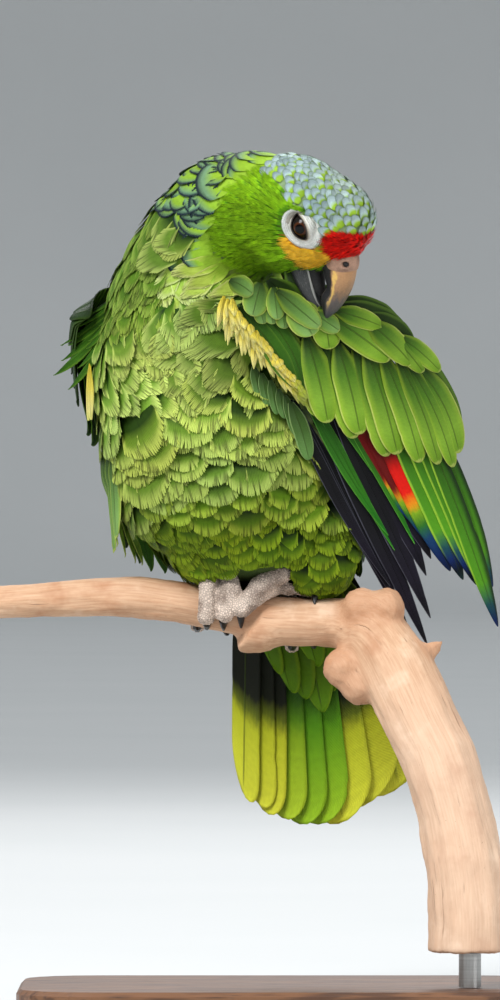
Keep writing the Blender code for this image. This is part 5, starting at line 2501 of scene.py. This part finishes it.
    def edge(self) -> None:
        """Small pointed pale tufts in ranks along the front edge, and green feathers that hang under it."""
        rng = np.random.default_rng(SEED + 5)
        tufts = []
        for rank, layer in enumerate(self.layers):
            for number in range(self.tufts):
                share = (number + rng.uniform(0, 1)) / self.tufts
                x = self.start[0] + self.run[0] * share + 0.3 * rank + rng.normal(0, 0.4)
                z = self.start[1] + self.run[1] * share + 0.4 * rank + rng.normal(0, 0.6)
                long = (self.longest - self.shortening * share) * rng.uniform(0.75, 1.1) * (1 - 0.18 * rank)
                lean = rng.normal(-0.24, 0.08) + 0.10 * rank + 0.66 * share
                tip = (x + lean * long, z - long * 0.92)
                width = self.tuft_width * rng.uniform(0.8, 1.2)
                tufts.append(Quill((x, z), tip, width, layer, place=share, cut=self.tuft))
        plumage("left_edge_tufts", "edge_yellow", Web.EDGE, tufts, "wing_left_edge", thickness=0.25)
        self.group("left_under_coverts", "flight_green", Web.UNDER, self.soft, (
            (1.5, 289, 4.5, 275.5, 5.0, 1.0), (5, 286, 8.2, 271.5, 5.0, 1.6), (9, 283, 12, 267.5, 4.6, 2.0),
            (12.5, 279, 15.5, 266, 4.6, 2.4), (15.5, 276, 21, 258, 5.0, 2.8),
            (18, 273, 26.3, 247.4, 7.6, 3.6, 0.8),
        ))


@dataclass(frozen=True)
class RightWing:
    """The folded wing along the far side, with its yellow edge in front and its tip behind the tail."""

    roots: tuple[Triple, Triple, Triple] = ((-63, -8, 308), (-62, 28, 334), (-30, 48, 320))
    tips: tuple[Triple, Triple, Triple] = ((-77, 4, 282), (-76, 52, 222), (-16, 69, 240))

    def build(self) -> None:
        """Builds the wing."""
        primaries = FeatherRow(
            6, ((-60, 34, 262), (-50, 42, 262), (-38, 50, 262)),
            ((-20, 54, 190), (6, 56, 146), (12, 60, 172)),
            BesideBody(0.4), 1.7, Cut(slant=-0.5, taper=0.55, sharp=0.75),
        )
        plumage("right_primaries", "primary_dark", Web.FOLDED, [primaries], "wing_right_primaries")
        secondaries = FeatherRow(
            8, ((-70, 16, 284), (-68, 38, 284), (-36, 54, 280)),
            ((-60, 36, 212), (-38, 65, 184), (-4, 69, 198)),
            BesideBody(2.2), 1.6, Cut(slant=-0.8, taper=0.75, sharp=0.6),
        )
        plumage("right_secondaries", "flight_green", Web.MANTLE, [secondaries], "wing_right_secondaries")
        long = FeatherRow(8, self.roots, self.tips, BesideBody(4.4), 1.6, Cut(slant=-0.9, taper=0.6))
        plumage("right_coverts", "covert_green", Web.MANTLE, [long], "wing_right_coverts")
        shingles = []
        for count, reach, margin in ((10, 0.74, 5.2), (12, 0.48, 5.9), (13, 0.26, 6.5)):
            near = tuple(tuple(mix(a, b, np.float64(reach))) for a, b in zip(self.roots, self.tips))
            cut = Cut(slant=-0.7, taper=0.5, uneven=0.09, curl=0.8)
            lay = BesideBody(margin, over=min(1.0, 0.3 / reach))
            shingles.append(FeatherRow(count, self.roots, near, lay, 1.6, cut))
        plumage("right_short_coverts", "covert_green", Web.MANTLE, shingles)
        flank = FeatherRow(
            8, ((-60, -20, 250), (-70, -4, 256), (-64, 14, 246)),
            ((-58, -20, 214), (-68, 2, 214), (-44, 24, 198)),
            BesideBody(0.6), 1.6, Cut(slant=-0.9, taper=0.55, sharp=0.65, uneven=0.08, curl=1.2),
        )
        plumage("right_flank_feathers", "plumage_green", Web.COVERT, [flank])
        ragged = Cut(slant=-0.5, taper=0.45, sharp=0.8, uneven=0.14, curl=1.6)
        free = BesideBody(-14, root=-14)
        shoulder = (
            FeatherRow(7, ((-54, 0, 326), (-62, -4, 318), (-66, -8, 302)),
                       ((-66, 0, 316), (-81, -2, 305), (-83, -4, 285)), free, 1.5, ragged),
            FeatherRow(6, ((-56, -6, 321), (-63, -10, 312), (-66, -14, 297)),
                       ((-64, -6, 309), (-75, -9, 298), (-77, -12, 280)), free, 1.5, ragged),
        )
        plumage("right_shoulder_feathers", "covert_green", Web.MANTLE, shoulder)
        edge = FeatherRow(
            2, ((-70.4, -22, 289), (-71.4, -21, 290), (-72.4, -20, 291)),
            ((-70.6, -21, 266), (-71.8, -20, 265), (-73.0, -19, 266)),
            BesideBody(1.0, root=1.0), 1.5, Cut(slant=-0.4, taper=0.5, sharp=0.7),
        )
        plumage("right_edge", "edge_yellow", Web.EDGE, [edge], "wing_right_edge")


@dataclass(frozen=True)
class Tail:
    """Nine tail feathers with their coverts over and under them."""

    def build(self) -> None:
        """Builds the tail."""
        fan = FeatherRow(
            9, ((-4, 0, 196), (18, 0, 200), (46, 0, 198)), ((-5, 0, 103), (14, 0, 56), (74, 0, 106)),
            Hanging(20, 31), 2.6,
            Cut(slant=2.0, camber=0.6, taper=0.86, sharp=0.5, uneven=0.035, columns=12),
        )
        plumage("tail_feathers", "tail_yellow_green", Web.TAIL, [fan], "tail")
        under = (
            FeatherRow(6, ((-4, 0, 188), (14, 0, 190), (44, 0, 190)),
                       ((8, 0, 158), (30, 0, 118), (50, 0, 146)),
                       Hanging(14.6, 19.5), 2.4, Cut(slant=0.8, taper=0.6, sharp=0.6, uneven=0.06)),
            FeatherRow(7, ((-6, 0, 194), (18, 0, 198), (44, 0, 196)),
                       ((2, 0, 176), (28, 0, 146), (56, 0, 158)),
                       Hanging(10, 16.5), 2.2, Cut(slant=0.8, taper=0.5, sharp=0.6, uneven=0.06)),
        )
        plumage("vent_feathers", "plumage_green", Web.VENT, under, "tail_coverts_under")
        over = FeatherRow(
            6, ((0, 0, 200), (20, 0, 204), (40, 0, 200)), ((2, 0, 150), (28, 0, 130), (58, 0, 150)),
            Hanging(26.0, 33.0), 2.0, Cut(slant=-0.8, camber=0.5, taper=0.5, sharp=0.6, uneven=0.05),
        )
        plumage("tail_back_feathers", "plumage_green", Web.VENT, [over], "tail_coverts_upper")


# --- head details ---
def through(stations: Array, shares: Array) -> Array:
    """Points on a smooth curve through rows of numbers, at shares of the way from the first to the last.

    Args:
        stations: Rows of numbers.
        shares: Where on the curve, from 0 to 1.

    Returns:
        A row of numbers for each share.
    """
    stations = np.asarray(stations, float)
    spots = np.clip(np.asarray(shares, float), 0, 1) * (len(stations) - 1)
    low = np.minimum(spots.astype(int), len(stations) - 2)
    t = (spots - low)[:, None]
    before, after = 2 * stations[:1] - stations[1:2], 2 * stations[-1:] - stations[-2:-1]
    padded = np.concatenate([before, stations, after])
    a, b, c, d = (padded[low + k] for k in range(4))
    return 0.5 * (2 * b + (c - a) * t + (2 * a - 5 * b + 4 * c - d) * t**2 + (3 * b - a - 3 * c + d) * t**3)


@dataclass(frozen=True)
class HornSheath:
    """A half of the bill, or the cere: rings between a ridge line and an edge line.

    Attributes:
        stations: Ridge forwards and up, edge forwards and up, half width; in millimetres.
        waist: Where across from edge to ridge the ring is widest.
        keel: How sharply the sides meet at the ridge: 1 is round.
        open_side: The broad, flat side: -1 is the edge line, 1 the ridge line and 0 neither.
    """

    name: str
    slot: str
    node: str
    stations: tuple[tuple[float, ...], ...]
    waist: float = 0.4
    rows: int = 44
    columns: int = 44
    keel: float = 0.9
    open_side: float = 0.0

    def shape(self, axes: HeadAxes, dent: Callable[[Array], Array] | None = None) -> Shape:
        """The sheath's closed surface.

        Args:
            axes: The head's axes.
            dent: Optional change of the head-frame places.

        Returns:
            The shape, with down, side and grain values.
        """
        shares = np.linspace(0, 1, self.rows)
        line = through(np.array(self.stations), shares)
        angles = np.linspace(0, 2 * math.pi, self.columns, endpoint=False)
        ridge, edge, wide = line[:, None, 0:2], line[:, None, 2:4], line[:, None, 4]
        middle = edge + (ridge - edge) * self.waist
        toward = np.cos(angles)[None, :, None]
        share = np.abs(toward)
        place_ = np.where(toward > 0, middle + (ridge - middle) * share, middle + (edge - middle) * share)
        power = np.where(np.cos(angles) * self.open_side > 0, 0.34, self.keel)
        out = wide * np.sign(np.sin(angles)) * np.abs(np.sin(angles)) ** power
        out = out * (1 - 0.16 * np.maximum(np.cos(angles) * self.open_side, 0.0))
        local = np.concatenate([place_, out[..., None]], 2)
        if dent:
            local = dent(local.reshape(-1, 3)).reshape(local.shape)
        shape = axes.tube(local).capped(self.columns)
        turn = np.broadcast_to(angles, out.shape).ravel()
        down = np.broadcast_to(shares[:, None], out.shape).ravel()
        grain = np.stack([np.cos(turn), down * 3.0, np.sin(turn)], 1)
        shape.values = {"side": (1 - np.cos(turn)) / 2, "down": down, "grain": grain}
        return shape

    def build(
        self, axes: HeadAxes, finish: bpy.types.Material, dent: Callable[[Array], Array] | None = None
    ) -> bpy.types.Object:
        """Builds the sheath."""
        obj = place(self.name, self.shape(axes, dent).mesh(self.name), finish)
        outward(obj.data)
        return finished(obj, self.slot, *([self.node] if self.node else []))


@dataclass(frozen=True)
class Bill:
    """The hooked bill in two halves, and the cere with its nostrils.

    Attributes:
        axes: The head's axes.
        nostril: The near nostril's place in them.
        bead: The size of the dark bead in each, a painted shadow inside the nostril.
        rim: How high a nostril's rim stands, its radius and its width.
        pit: How deep a nostril is, where its wall starts and where it ends.
    """

    axes: HeadAxes
    nostril: Triple = (23.6, -6.4, 6.0)
    bead: Triple = (1.35, 1.15, 1.6)
    rim: Triple = (0.6, 2.1, 0.8)
    pit: Triple = (2.6, 1.5, 0.7)

    def build(self) -> None:
        """Builds the bill."""
        upper = (
            (23, -1.0, 11.5, -12.0, 7.8), (25.8, -5.2, 13.8, -14.6, 7.8), (28.6, -10.8, 17.6, -18.0, 7.6),
            (30.4, -17, 19.8, -22.4, 7.0), (30.9, -23.2, 21.2, -27.2, 6.2), (30.4, -28.8, 23.8, -31.0, 5.0),
            (29.4, -32.4, 26.2, -33.6, 3.6), (28.6, -34.9, 27.2, -35.2, 1.7),
        )
        lower = (
            (6.5, -15.5, 1, -25, 7.2), (10.6, -18.6, 6, -28.4, 7.4), (13.8, -22.4, 11, -31.2, 6.6),
            (16.8, -26.4, 15.4, -33.2, 5.2), (20.6, -30.4, 20.0, -34.0, 3.2),
            (23.4, -32.4, 23.0, -33.8, 1.0),
        )
        cere = (
            (22.4, 1.0, 10, -11.5, 7.6), (24.6, -1.6, 12, -12.5, 8.0), (26.2, -3.8, 13.6, -13.6, 8.2),
            (27.4, -6.0, 15.6, -14.8, 8.0), (27.9, -7.8, 18.0, -14.6, 7.2),
        )
        HornSheath("upper_bill", "bill_horn", "bill_upper", upper, open_side=-1.0).build(
            self.axes,
            Horn("upper_bill_horn", ((0.0, 176, 132, 98), (0.28, 168, 126, 86), (0.44, 138, 106, 76),
                 (0.58, 86, 78, 74), (0.78, 62, 61, 63), (1.0, 50, 50, 53)), (30, 29, 31), 0.44, 0.8).build(),
            self.tomium,
        )
        HornSheath("lower_bill", "bill_dark", "bill_lower", lower, open_side=1.0).build(
            self.axes,
            Horn("lower_bill_horn", ((0.0, 40, 41, 42), (0.5, 60, 62, 62), (0.8, 72, 73, 74),
                 (1.0, 52, 52, 54)), (40, 40, 42), 0.6, 0.0, 1.0).build(),
        )
        tongue = ((4, -13, 3, -20, 4.6), (10, -14, 8, -22, 5.2), (15, -18, 13, -25, 4.8),
                  (19, -23, 18, -28, 3.6), (21.5, -26.5, 21, -29, 1.4))
        HornSheath("tongue", "bill_dark", "", tongue, rows=24, columns=28, keel=1.0).build(
            self.axes, Pebbled("tongue_skin", (26, 24, 26), (14, 13, 14), 1800.0, 0.12, 0.2).build()
        )
        self.hollows()
        HornSheath("cere_skin", "cere_flesh", "cere", cere, rows=40, columns=72, keel=1.0).build(
            self.axes,
            Pebbled("cere_flesh", (182, 142, 118), (136, 104, 86), 1500.0, 0.14, 0.25).build(),
            self.nostrils,
        )

    @staticmethod
    def tomium(places: Array) -> Array:
        """Scoops the upper bill's cutting edge behind the hook.

        Args:
            places: The bill's places in the head's axes.

        Returns:
            The changed places.
        """
        near = np.exp(-(((places[:, 0] - 20.5) / 4.0) ** 2 + ((places[:, 1] + 22.5) / 3.0) ** 2))
        places = places.copy()
        places[:, 0] += 1.2 * near
        places[:, 1] += 0.9 * near
        return places

    def hollows(self) -> None:
        """Paints shadow inside each nostril with a small, dark, sunken bead."""
        polar = np.linspace(0.05, math.pi - 0.05, 12)[:, None, None]
        turn = np.linspace(0, 2 * math.pi, 20, endpoint=False)[None, :, None]
        bead = np.concatenate(
            [np.sin(polar) * np.cos(turn), np.sin(polar) * np.sin(turn), np.cos(polar) + 0 * turn], 2
        )
        for sign, name in ((1, "nostril_right"), (-1, "nostril_left")):
            local = bead * self.bead + np.array(self.nostril) * (1, 1, sign) + (0, 0, -0.1 * sign)
            shape = self.axes.tube(local).capped(20)
            obj = place(name, shape.mesh(name), Pebbled(name, (20, 15, 14), (8, 6, 6), 2400.0, 0.1).build())
            outward(obj.data)
            finished(obj, "cere_flesh")

    def nostrils(self, places: Array) -> Array:
        """Sinks the nostrils and raises the cere round them.

        Args:
            places: The cere's places in the head's axes.

        Returns:
            The changed places.
        """
        (high, radius, wide), (deep, start, end) = self.rim, self.pit
        places = places.copy()
        for sign in (1, -1):
            away = places - np.array(self.nostril) * (1, 1, sign)
            near = np.linalg.norm(away * (1.0, 1.15, 0.2), axis=1)
            ring = high * np.exp(-(((near - radius) / wide) ** 2)) - deep * smooth(start, end, near)
            places[:, 2] += sign * ring * (np.sign(places[:, 2]) == sign)
        return places


@dataclass(frozen=True)
class Eye:
    """An eyeball set in the head with its bare, wrinkled ring of lids.

    Attributes:
        sign: 1 for the near eye and -1 for the far one.
        centre: The ball's middle in the head's axes.
        radius: The ball's radius.
        gaze: The way it looks.
        cornea: How much the ball bulges in front of its iris, and over which angle.
        opening: Half length and half width between the lids.
        opening_long: The way the opening is long, forwards and up.
        rings: Rings of the lids' mesh.
        columns: Points in each.
        thick: How thick the lids are.
    """

    axes: HeadAxes
    markings: Markings
    sign: int
    node: str
    centre: Triple = (0.0, 0.0, 14.4)
    radius: float = 5.8
    gaze: Triple = (0.08, -0.06, 0.98)
    cornea: tuple[float, float] = (0.045, 0.5)
    opening: tuple[float, float] = (5.9, 3.4)
    opening_long: tuple[float, float] = (0.79, -0.61)
    rings: int = 15
    columns: int = 72
    thick: float = 0.35

    def side(self) -> str:
        """The side's name."""
        return "right" if self.sign > 0 else "left"

    def mirrored(self, place_: Triple) -> Array:
        """A head-frame place or direction on this eye's side."""
        return np.array(place_, float) * (1, 1, self.sign)

    def build(self, skin: Skin) -> None:
        """Builds the ball and its lids."""
        self.ball()
        self.lids(skin)

    def ball(self) -> None:
        """Builds the eyeball with the angle from its gaze on every point."""
        rows, columns = 32, 48
        polar = np.linspace(0.02, math.pi - 0.02, rows)[:, None]
        round_ = np.linspace(0, 2 * math.pi, columns, endpoint=False)[None]
        look = unit(self.mirrored(self.gaze))
        first = unit(np.cross(look, (0.3, 1.0, 0.1)))
        second = np.cross(look, first)
        bulge = 1 + self.cornea[0] * np.exp(-((polar / self.cornea[1]) ** 2))
        local = (
            np.cos(polar)[..., None] * look
            + (np.sin(polar) * np.cos(round_))[..., None] * first
            + (np.sin(polar) * np.sin(round_))[..., None] * second
        ) * (self.radius * bulge)[..., None]
        local = local + self.mirrored(self.centre)
        name = "eyeball_" + self.side()
        shape = self.axes.tube(local).capped(columns)
        spread = np.broadcast_to(polar, (rows, columns)).ravel()
        turn = np.broadcast_to(round_, (rows, columns)).ravel()
        shape.values = {
            "gaze": spread / 1.1,
            "iris": np.stack([np.cos(turn) * 1.6, np.sin(turn) * 1.6, spread * 1.2], 1),
        }
        obj = place(name, shape.mesh(name), Eyeball(name + "_finish").build())
        outward(obj.data)
        finished(obj, "eye_dark", self.node)

    def lids(self, skin: Skin) -> None:
        """Builds the ring of lids from the almond opening out to the feathers.

        Args:
            skin: The skin that the ring ends on.
        """
        angles = np.linspace(0, 2 * math.pi, self.columns, endpoint=False)
        long = np.array(self.opening_long)
        beside = np.array([-long[1], long[0]])
        almond_x = self.opening[0] * np.cos(angles)
        almond_y = self.opening[1] * np.sign(np.sin(angles)) * np.abs(np.sin(angles)) ** 1.35
        inner = np.array([-0.4, -0.4]) + almond_x[:, None] * long + almond_y[:, None] * beside
        axis = np.array(self.markings.ring_long)
        across = np.array([-axis[1], axis[0]])
        size = np.array(self.markings.ring_size) * 1.04
        shift = math.atan2(long[1], long[0]) - math.atan2(axis[1], axis[0])
        turned = (angles + shift)[:, None]
        outer = size[0] * np.cos(turned) * axis + size[1] * np.sin(turned) * across
        outer = np.array(self.markings.ring_centre) + outer
        centre = np.array(self.centre)
        rows = []
        for number in range(self.rings):
            share = (number - 2) / (self.rings - 3)
            flat = inner + (outer - inner) * max(share, 0.0)
            from_eye = np.hypot(flat[:, 0] - centre[0], flat[:, 1] - centre[1])
            ball = centre[2] + np.sqrt(np.maximum((self.radius + 0.55) ** 2 - from_eye**2, 3.0))
            surface = self.surface(skin, flat)
            blend = smooth(0.10, 0.8, np.full(len(flat), share))
            height = ball * (1 - blend) + (surface + 0.5 - 0.9 * smooth(0.8, 1.0, share)) * blend
            fades = float(smooth(0.05, 0.2, share) * smooth(1.0, 0.7, share))
            roll = 0.35 * math.sin(max(share, 0.0) * 30.0) * fades
            over_ball = centre[2] + np.sqrt(np.maximum(self.radius**2 - from_eye**2, 0.0)) + 0.3
            height = np.where(from_eye < self.radius, np.maximum(height, over_ball), height) + 0.30 * roll
            if share < 0:
                height = height - 0.9 * -share * (self.rings - 3) * 0.5
            rows.append(np.concatenate([flat, (height * self.sign)[:, None]], 1))
        local = np.array(rows)
        shape = self.axes.tube(local)
        ring = np.clip((np.arange(self.rings) - 1) / (self.rings - 2), 0, 1)
        shape.values["ring"] = np.repeat(ring, self.columns)
        name = "eye_ring_" + self.side()
        obj = place(name, shape.mesh(name), Lid(name + "_finish").build())
        modified(obj, "SOLIDIFY", thickness=self.thick * MM, offset=0.0)
        modified(obj, "SUBSURF", levels=1, render_levels=1)
        outward(applied(obj))
        finished(obj, "cere_flesh")

    def surface(self, skin: Skin, flat: Array) -> Array:
        """How far out the skin lies on this side, over places given as forwards and up.

        Args:
            skin: The skin.
            flat: Places as forwards and up.

        Returns:
            Distances out along the head's third axis.
        """
        inwards = -self.axes.turn()[2] * self.sign
        found = np.zeros(len(flat))
        for row, (f, u) in enumerate(flat):
            start = self.axes.world(np.array([[f, u, 40.0 * self.sign]]))[0]
            hit, _, _, _ = skin.outer.ray_cast(Vector(start * MM), Vector(inwards))
            found[row] = abs(self.axes.local(np.array(hit)[None] / MM)[0][2]) if hit else 16.0
        return found


# --- feet ---
@dataclass(frozen=True)
class Feet:
    """Two zygodactyl feet that grip the branch, with rows of scales, and eight black claws.

    Attributes:
        frame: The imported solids.
        voxel: The feet's mesh size.
        claw_voxel: The claws' mesh size.
        scales: Scales in a metre.
        raised: How high they stand.
        pads: Bars of flesh over the toes: start, end and radius.
    """

    frame: Frame
    voxel: float = 0.62
    claw_voxel: float = 0.32
    scales: float = 900.0
    raised: float = 0.34
    pads: tuple[tuple[Triple, Triple, float], ...] = (
        ((16, -3, 203), (14, -10, 197), 5.2), ((14, -10, 197), (4, -14, 190.5), 4.9),
        ((4, -14, 190.5), (-4, -15.5, 181), 4.2), ((-10, -7, 197), (-8, -14, 189), 4.2),
        ((-8, -14, 189), (-11, -15, 178), 3.7), ((-18, -4, 198), (-19, -12, 191), 4.2),
        ((-19, -12, 191), (-20, -14, 177), 3.7),
    )

    def digits(self, part: str) -> list[str]:
        """The nodes of every toe or claw.

        Args:
            part: toe or claw.

        Returns:
            The nodes' names.
        """
        return [
            f"{part}_{side}_{place_}"
            for side in ("left", "right")
            for place_ in ("inner_front", "outer_front", "inner_back", "outer_back")
        ]

    def build(self) -> None:
        """Builds the feet."""
        toes = [*self.digits("toe"), "foot_left", "foot_right"]
        feet = remeshed("feet", self.frame, toes, self.voxel, 0.15, 4, self.pads)
        tree = SurfaceTree("scaled_skin")
        where = tree.one("GeometryNodeInputPosition")
        tree.raised(tree.graph.cells(where, tree.given("Scale")).step(0.0, 0.32) - 0.55)
        finish = Pebbled("foot_scales", (226, 206, 190), (158, 138, 124), self.scales).build()
        tree.run(feet, Scale=self.scales, Depth=self.raised * MM, Finish=finish)
        finished(feet, "foot_grey", *toes)
        claws = remeshed("claws", self.frame, self.digits("claw"), self.claw_voxel, 0.05, 3)
        claws.data.materials.append(Keratin().build())
        finished(claws, "claw_black", *self.digits("claw"))


# --- perch and stand ---
@dataclass(frozen=True)
class Perch:
    """The cut length of branch: peeled wood with knots, a snag and a slanting break.

    Attributes:
        frame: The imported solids.
        stations: Places along the middle, each with its radius.
        knots: Middles of knots, each with its radius.
        voxel: The mesh size.
        relief: How high the grain stands.
        swell: How much higher the slow swells stand.
    """

    frame: Frame
    stations: tuple[tuple[float, float, float, float], ...] = (
        (-123, 7, 183, 7), (-100, 6, 184, 8), (-76, 4, 185.5, 8.8), (-54, 2, 186, 9.5), (-32, 0, 183.5, 9.6),
        (-6, -1, 178.5, 9.8), (8, -2, 176, 10.4), (26, -3, 175, 10.6), (42, -6, 174, 12),
        (55, -12, 170, 15.8),
        (65, -20, 155, 17), (75, -28, 134, 17.2), (84, -34, 115, 17.2), (91.5, -39, 90, 17.2),
        (96, -43, 66, 17.8), (98, -44, 45, 18.8), (98, -44, 27, 19.4),
    )
    knots: tuple[tuple[Triple, float], ...] = (
        ((50, -16, 181), 11), ((61, -17, 181), 10), ((42, -18, 154), 11), ((49, -19, 146), 10),
        ((80, -21, 163), 8), ((3, -6, 176), 9),
    )
    voxel: float = 1.15
    relief: float = 0.9
    swell: float = 3.2

    def grain(self, points: Array) -> Array:
        """Places in a frame that runs along the branch: across twice, and along in millimetres.

        Args:
            points: Places in millimetres.

        Returns:
            Places in the branch's frame.
        """
        line = np.array(self.stations)[:, :3]
        fine = through(line, np.linspace(0, 1, 160))
        steps = np.linalg.norm(np.diff(fine, axis=0), axis=1)
        length = np.concatenate([[0], np.cumsum(steps)])
        way = unit(np.gradient(fine, axis=0))
        near = np.argmin(np.linalg.norm(points[:, None] - fine[None], axis=2), axis=1)
        off = points - fine[near]
        along = length[near] + dots(off, way[near])
        off = off - way[near] * dots(off, way[near])[:, None]
        side = np.tile(np.array([0.0, 1.0, 0.0]), (len(points), 1))
        side = unit(side - way[near] * dots(side, way[near])[:, None])
        other = np.cross(way[near], side)
        return np.stack([dots(off, side), dots(off, other), along], 1)

    def build(self) -> None:
        """Builds the branch."""
        obj = remeshed("perch_branch", self.frame, ("branch",), self.voxel, 0.0, 5)
        points = mesh_points(obj.data)
        knot = np.zeros(len(points))
        for centre, radius in self.knots:
            away = np.linalg.norm(points - centre, axis=1)
            knot = np.maximum(knot, smooth(radius * 1.5, radius * 0.7, away))
        write(obj.data, "grain", self.grain(points))
        write(obj.data, "knot", knot)
        tree = SurfaceTree("wood_grain")
        ridges, swells = (
            tree.graph.noise(tree.vectors("MULTIPLY", tree.named("grain"), stretch), scale)
            for stretch, scale in (((1.0, 1.0, 0.06), 0.5), ((1.0, 1.0, 0.5), 0.09))
        )
        tree.raised((ridges - 0.5) * tree.given("Scale") + (swells - 0.5) * self.swell)
        tree.run(obj, Scale=1.0, Depth=self.relief * MM, Finish=BareWood().build())
        finished(obj, "bare_wood", "branch")


@dataclass(frozen=True)
class Stand:
    """The plain display stand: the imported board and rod, in oiled hardwood and brushed steel."""

    frame: Frame

    def dress(self) -> None:
        """Gives both solids their finish."""
        for node, finish in (("stand_base", OiledWood()), ("stand_rod", BrushedSteel())):
            self.frame.nodes[node].material_slots[0].material = finish.build()
            LOG.info("%-24s dressed", node)


# --- studio ---
@dataclass(frozen=True)
class Studio:
    """A pale floor that curves up far away, soft light from large panels, and the camera.

    Attributes:
        aim: Where the camera looks, in millimetres.
        distance: How far in front of it the camera stands, in metres.
        lens: The lens, in millimetres.
        floor: The flat floor's radius, in metres.
        bend: The radius of the floor's upward curve.
        wall: How high its rim goes.
        panels: For each light its place and side in metres and its power in watts.
    """

    aim: Triple = (0.0, 0.0, 229.5)
    distance: float = 4.5
    lens: float = 360.0
    floor: float = 16.0
    bend: float = 1.2
    wall: float = 9.0
    panels: dict[str, tuple[Triple, float, float]] = field(default_factory=lambda: {
        "key_panel": ((-1.3, -2.0, 2.3), 1.3, 112.0),
        "fill_panel": ((2.2, -1.7, 1.2), 1.8, 26.0),
        "back_panel": ((0.4, 2.4, 2.2), 1.6, 40.0),
    })

    def build(self) -> None:
        """Builds the studio."""
        self.bowl()
        self.sky()
        for name, panel in self.panels.items():
            self.panel(name, *panel)
        self.camera()

    def bowl(self) -> None:
        """Builds the floor with its far rim turned up."""
        turns = np.linspace(0, math.pi / 2, 9)[1:]
        radii = [0.4, 1.2, 2.5, 4.0, 6.5, 10.0, self.floor, *(self.floor + np.sin(turns) * self.bend)]
        heights = [0.0] * 7 + [*(self.bend * (1 - np.cos(turns)))]
        round_ = np.linspace(0, 2 * math.pi, 96, endpoint=False)
        rows = [
            np.stack([radius * np.cos(round_), radius * np.sin(round_), np.full(96, height)], 1)
            for radius, height in zip([*radii, radii[-1]], [*heights, self.wall])
        ]
        shape = Shape.grid(np.array(rows) / MM, closed=True)
        shape.faces = [face[::-1] for face in shape.faces] + [tuple(range(96))]
        place("studio_floor", shape.mesh("studio_floor"), PalePaper().build())

    def sky(self) -> None:
        """Fills the room with even, faintly cool light."""
        world = bpy.data.worlds.new("studio_light")
        world.use_nodes = True
        back = world.node_tree.nodes["Background"]
        back.inputs[0].default_value = (0.93, 0.97, 1.0, 1.0)
        back.inputs[1].default_value = 0.82
        bpy.context.scene.world = world
        bpy.context.scene.view_settings.view_transform = "Standard"
        bpy.context.scene.view_settings.look = "None"

    def panel(self, name: str, where: Triple, size: float, power: float) -> None:
        """Hangs a square light that faces the bird.

        Args:
            name: The light's name.
            where: Its place in metres.
            size: Its side in metres.
            power: Its power in watts.
        """
        light = bpy.data.lights.new(name, "AREA")
        light.shape, light.size, light.energy = "SQUARE", size, power
        obj = bpy.data.objects.new(name, light)
        obj.location = where
        aim = Vector((0.0, 0.0, 0.26)) - Vector(where)
        obj.rotation_euler = aim.to_track_quat("-Z", "Y").to_euler()
        bpy.context.scene.collection.objects.link(obj)

    def camera(self) -> None:
        """Sets the long lens level with the bird's breast."""
        data = bpy.data.cameras.new("camera")
        data.lens, data.sensor_width, data.clip_end = self.lens, 36.0, 100.0
        camera = bpy.data.objects.new("camera", data)
        camera.location = (self.aim[0] * MM, self.aim[1] * MM - self.distance, self.aim[2] * MM)
        camera.rotation_euler = (math.pi / 2, 0.0, 0.0)
        bpy.context.scene.collection.objects.link(camera)
        bpy.context.scene.camera = camera


def main() -> None:
    """Builds the bird, its perch and stand in order."""
    logging.basicConfig(level=logging.INFO, format="%(message)s")
    frame = Frame(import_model()["nodes"])
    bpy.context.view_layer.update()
    Studio().build()
    markings = Markings()
    skin = Skin(frame, markings)
    obj = skin.build()
    obj.data.materials.append(Hide().build())
    finished(obj, "plumage_green", *skin.nodes)
    Coat(skin, markings, Lie()).grow()
    LeftWing().build()
    RightWing().build()
    Tail().build()
    axes = HeadAxes()
    Bill(axes).build()
    Eye(axes, markings, 1, "eye_right").build(skin)
    Eye(axes, markings, -1, "eye_left").build(skin)
    Feet(frame).build()
    Perch(frame).build()
    Stand(frame).dress()


if __name__ == "__main__":
    main()
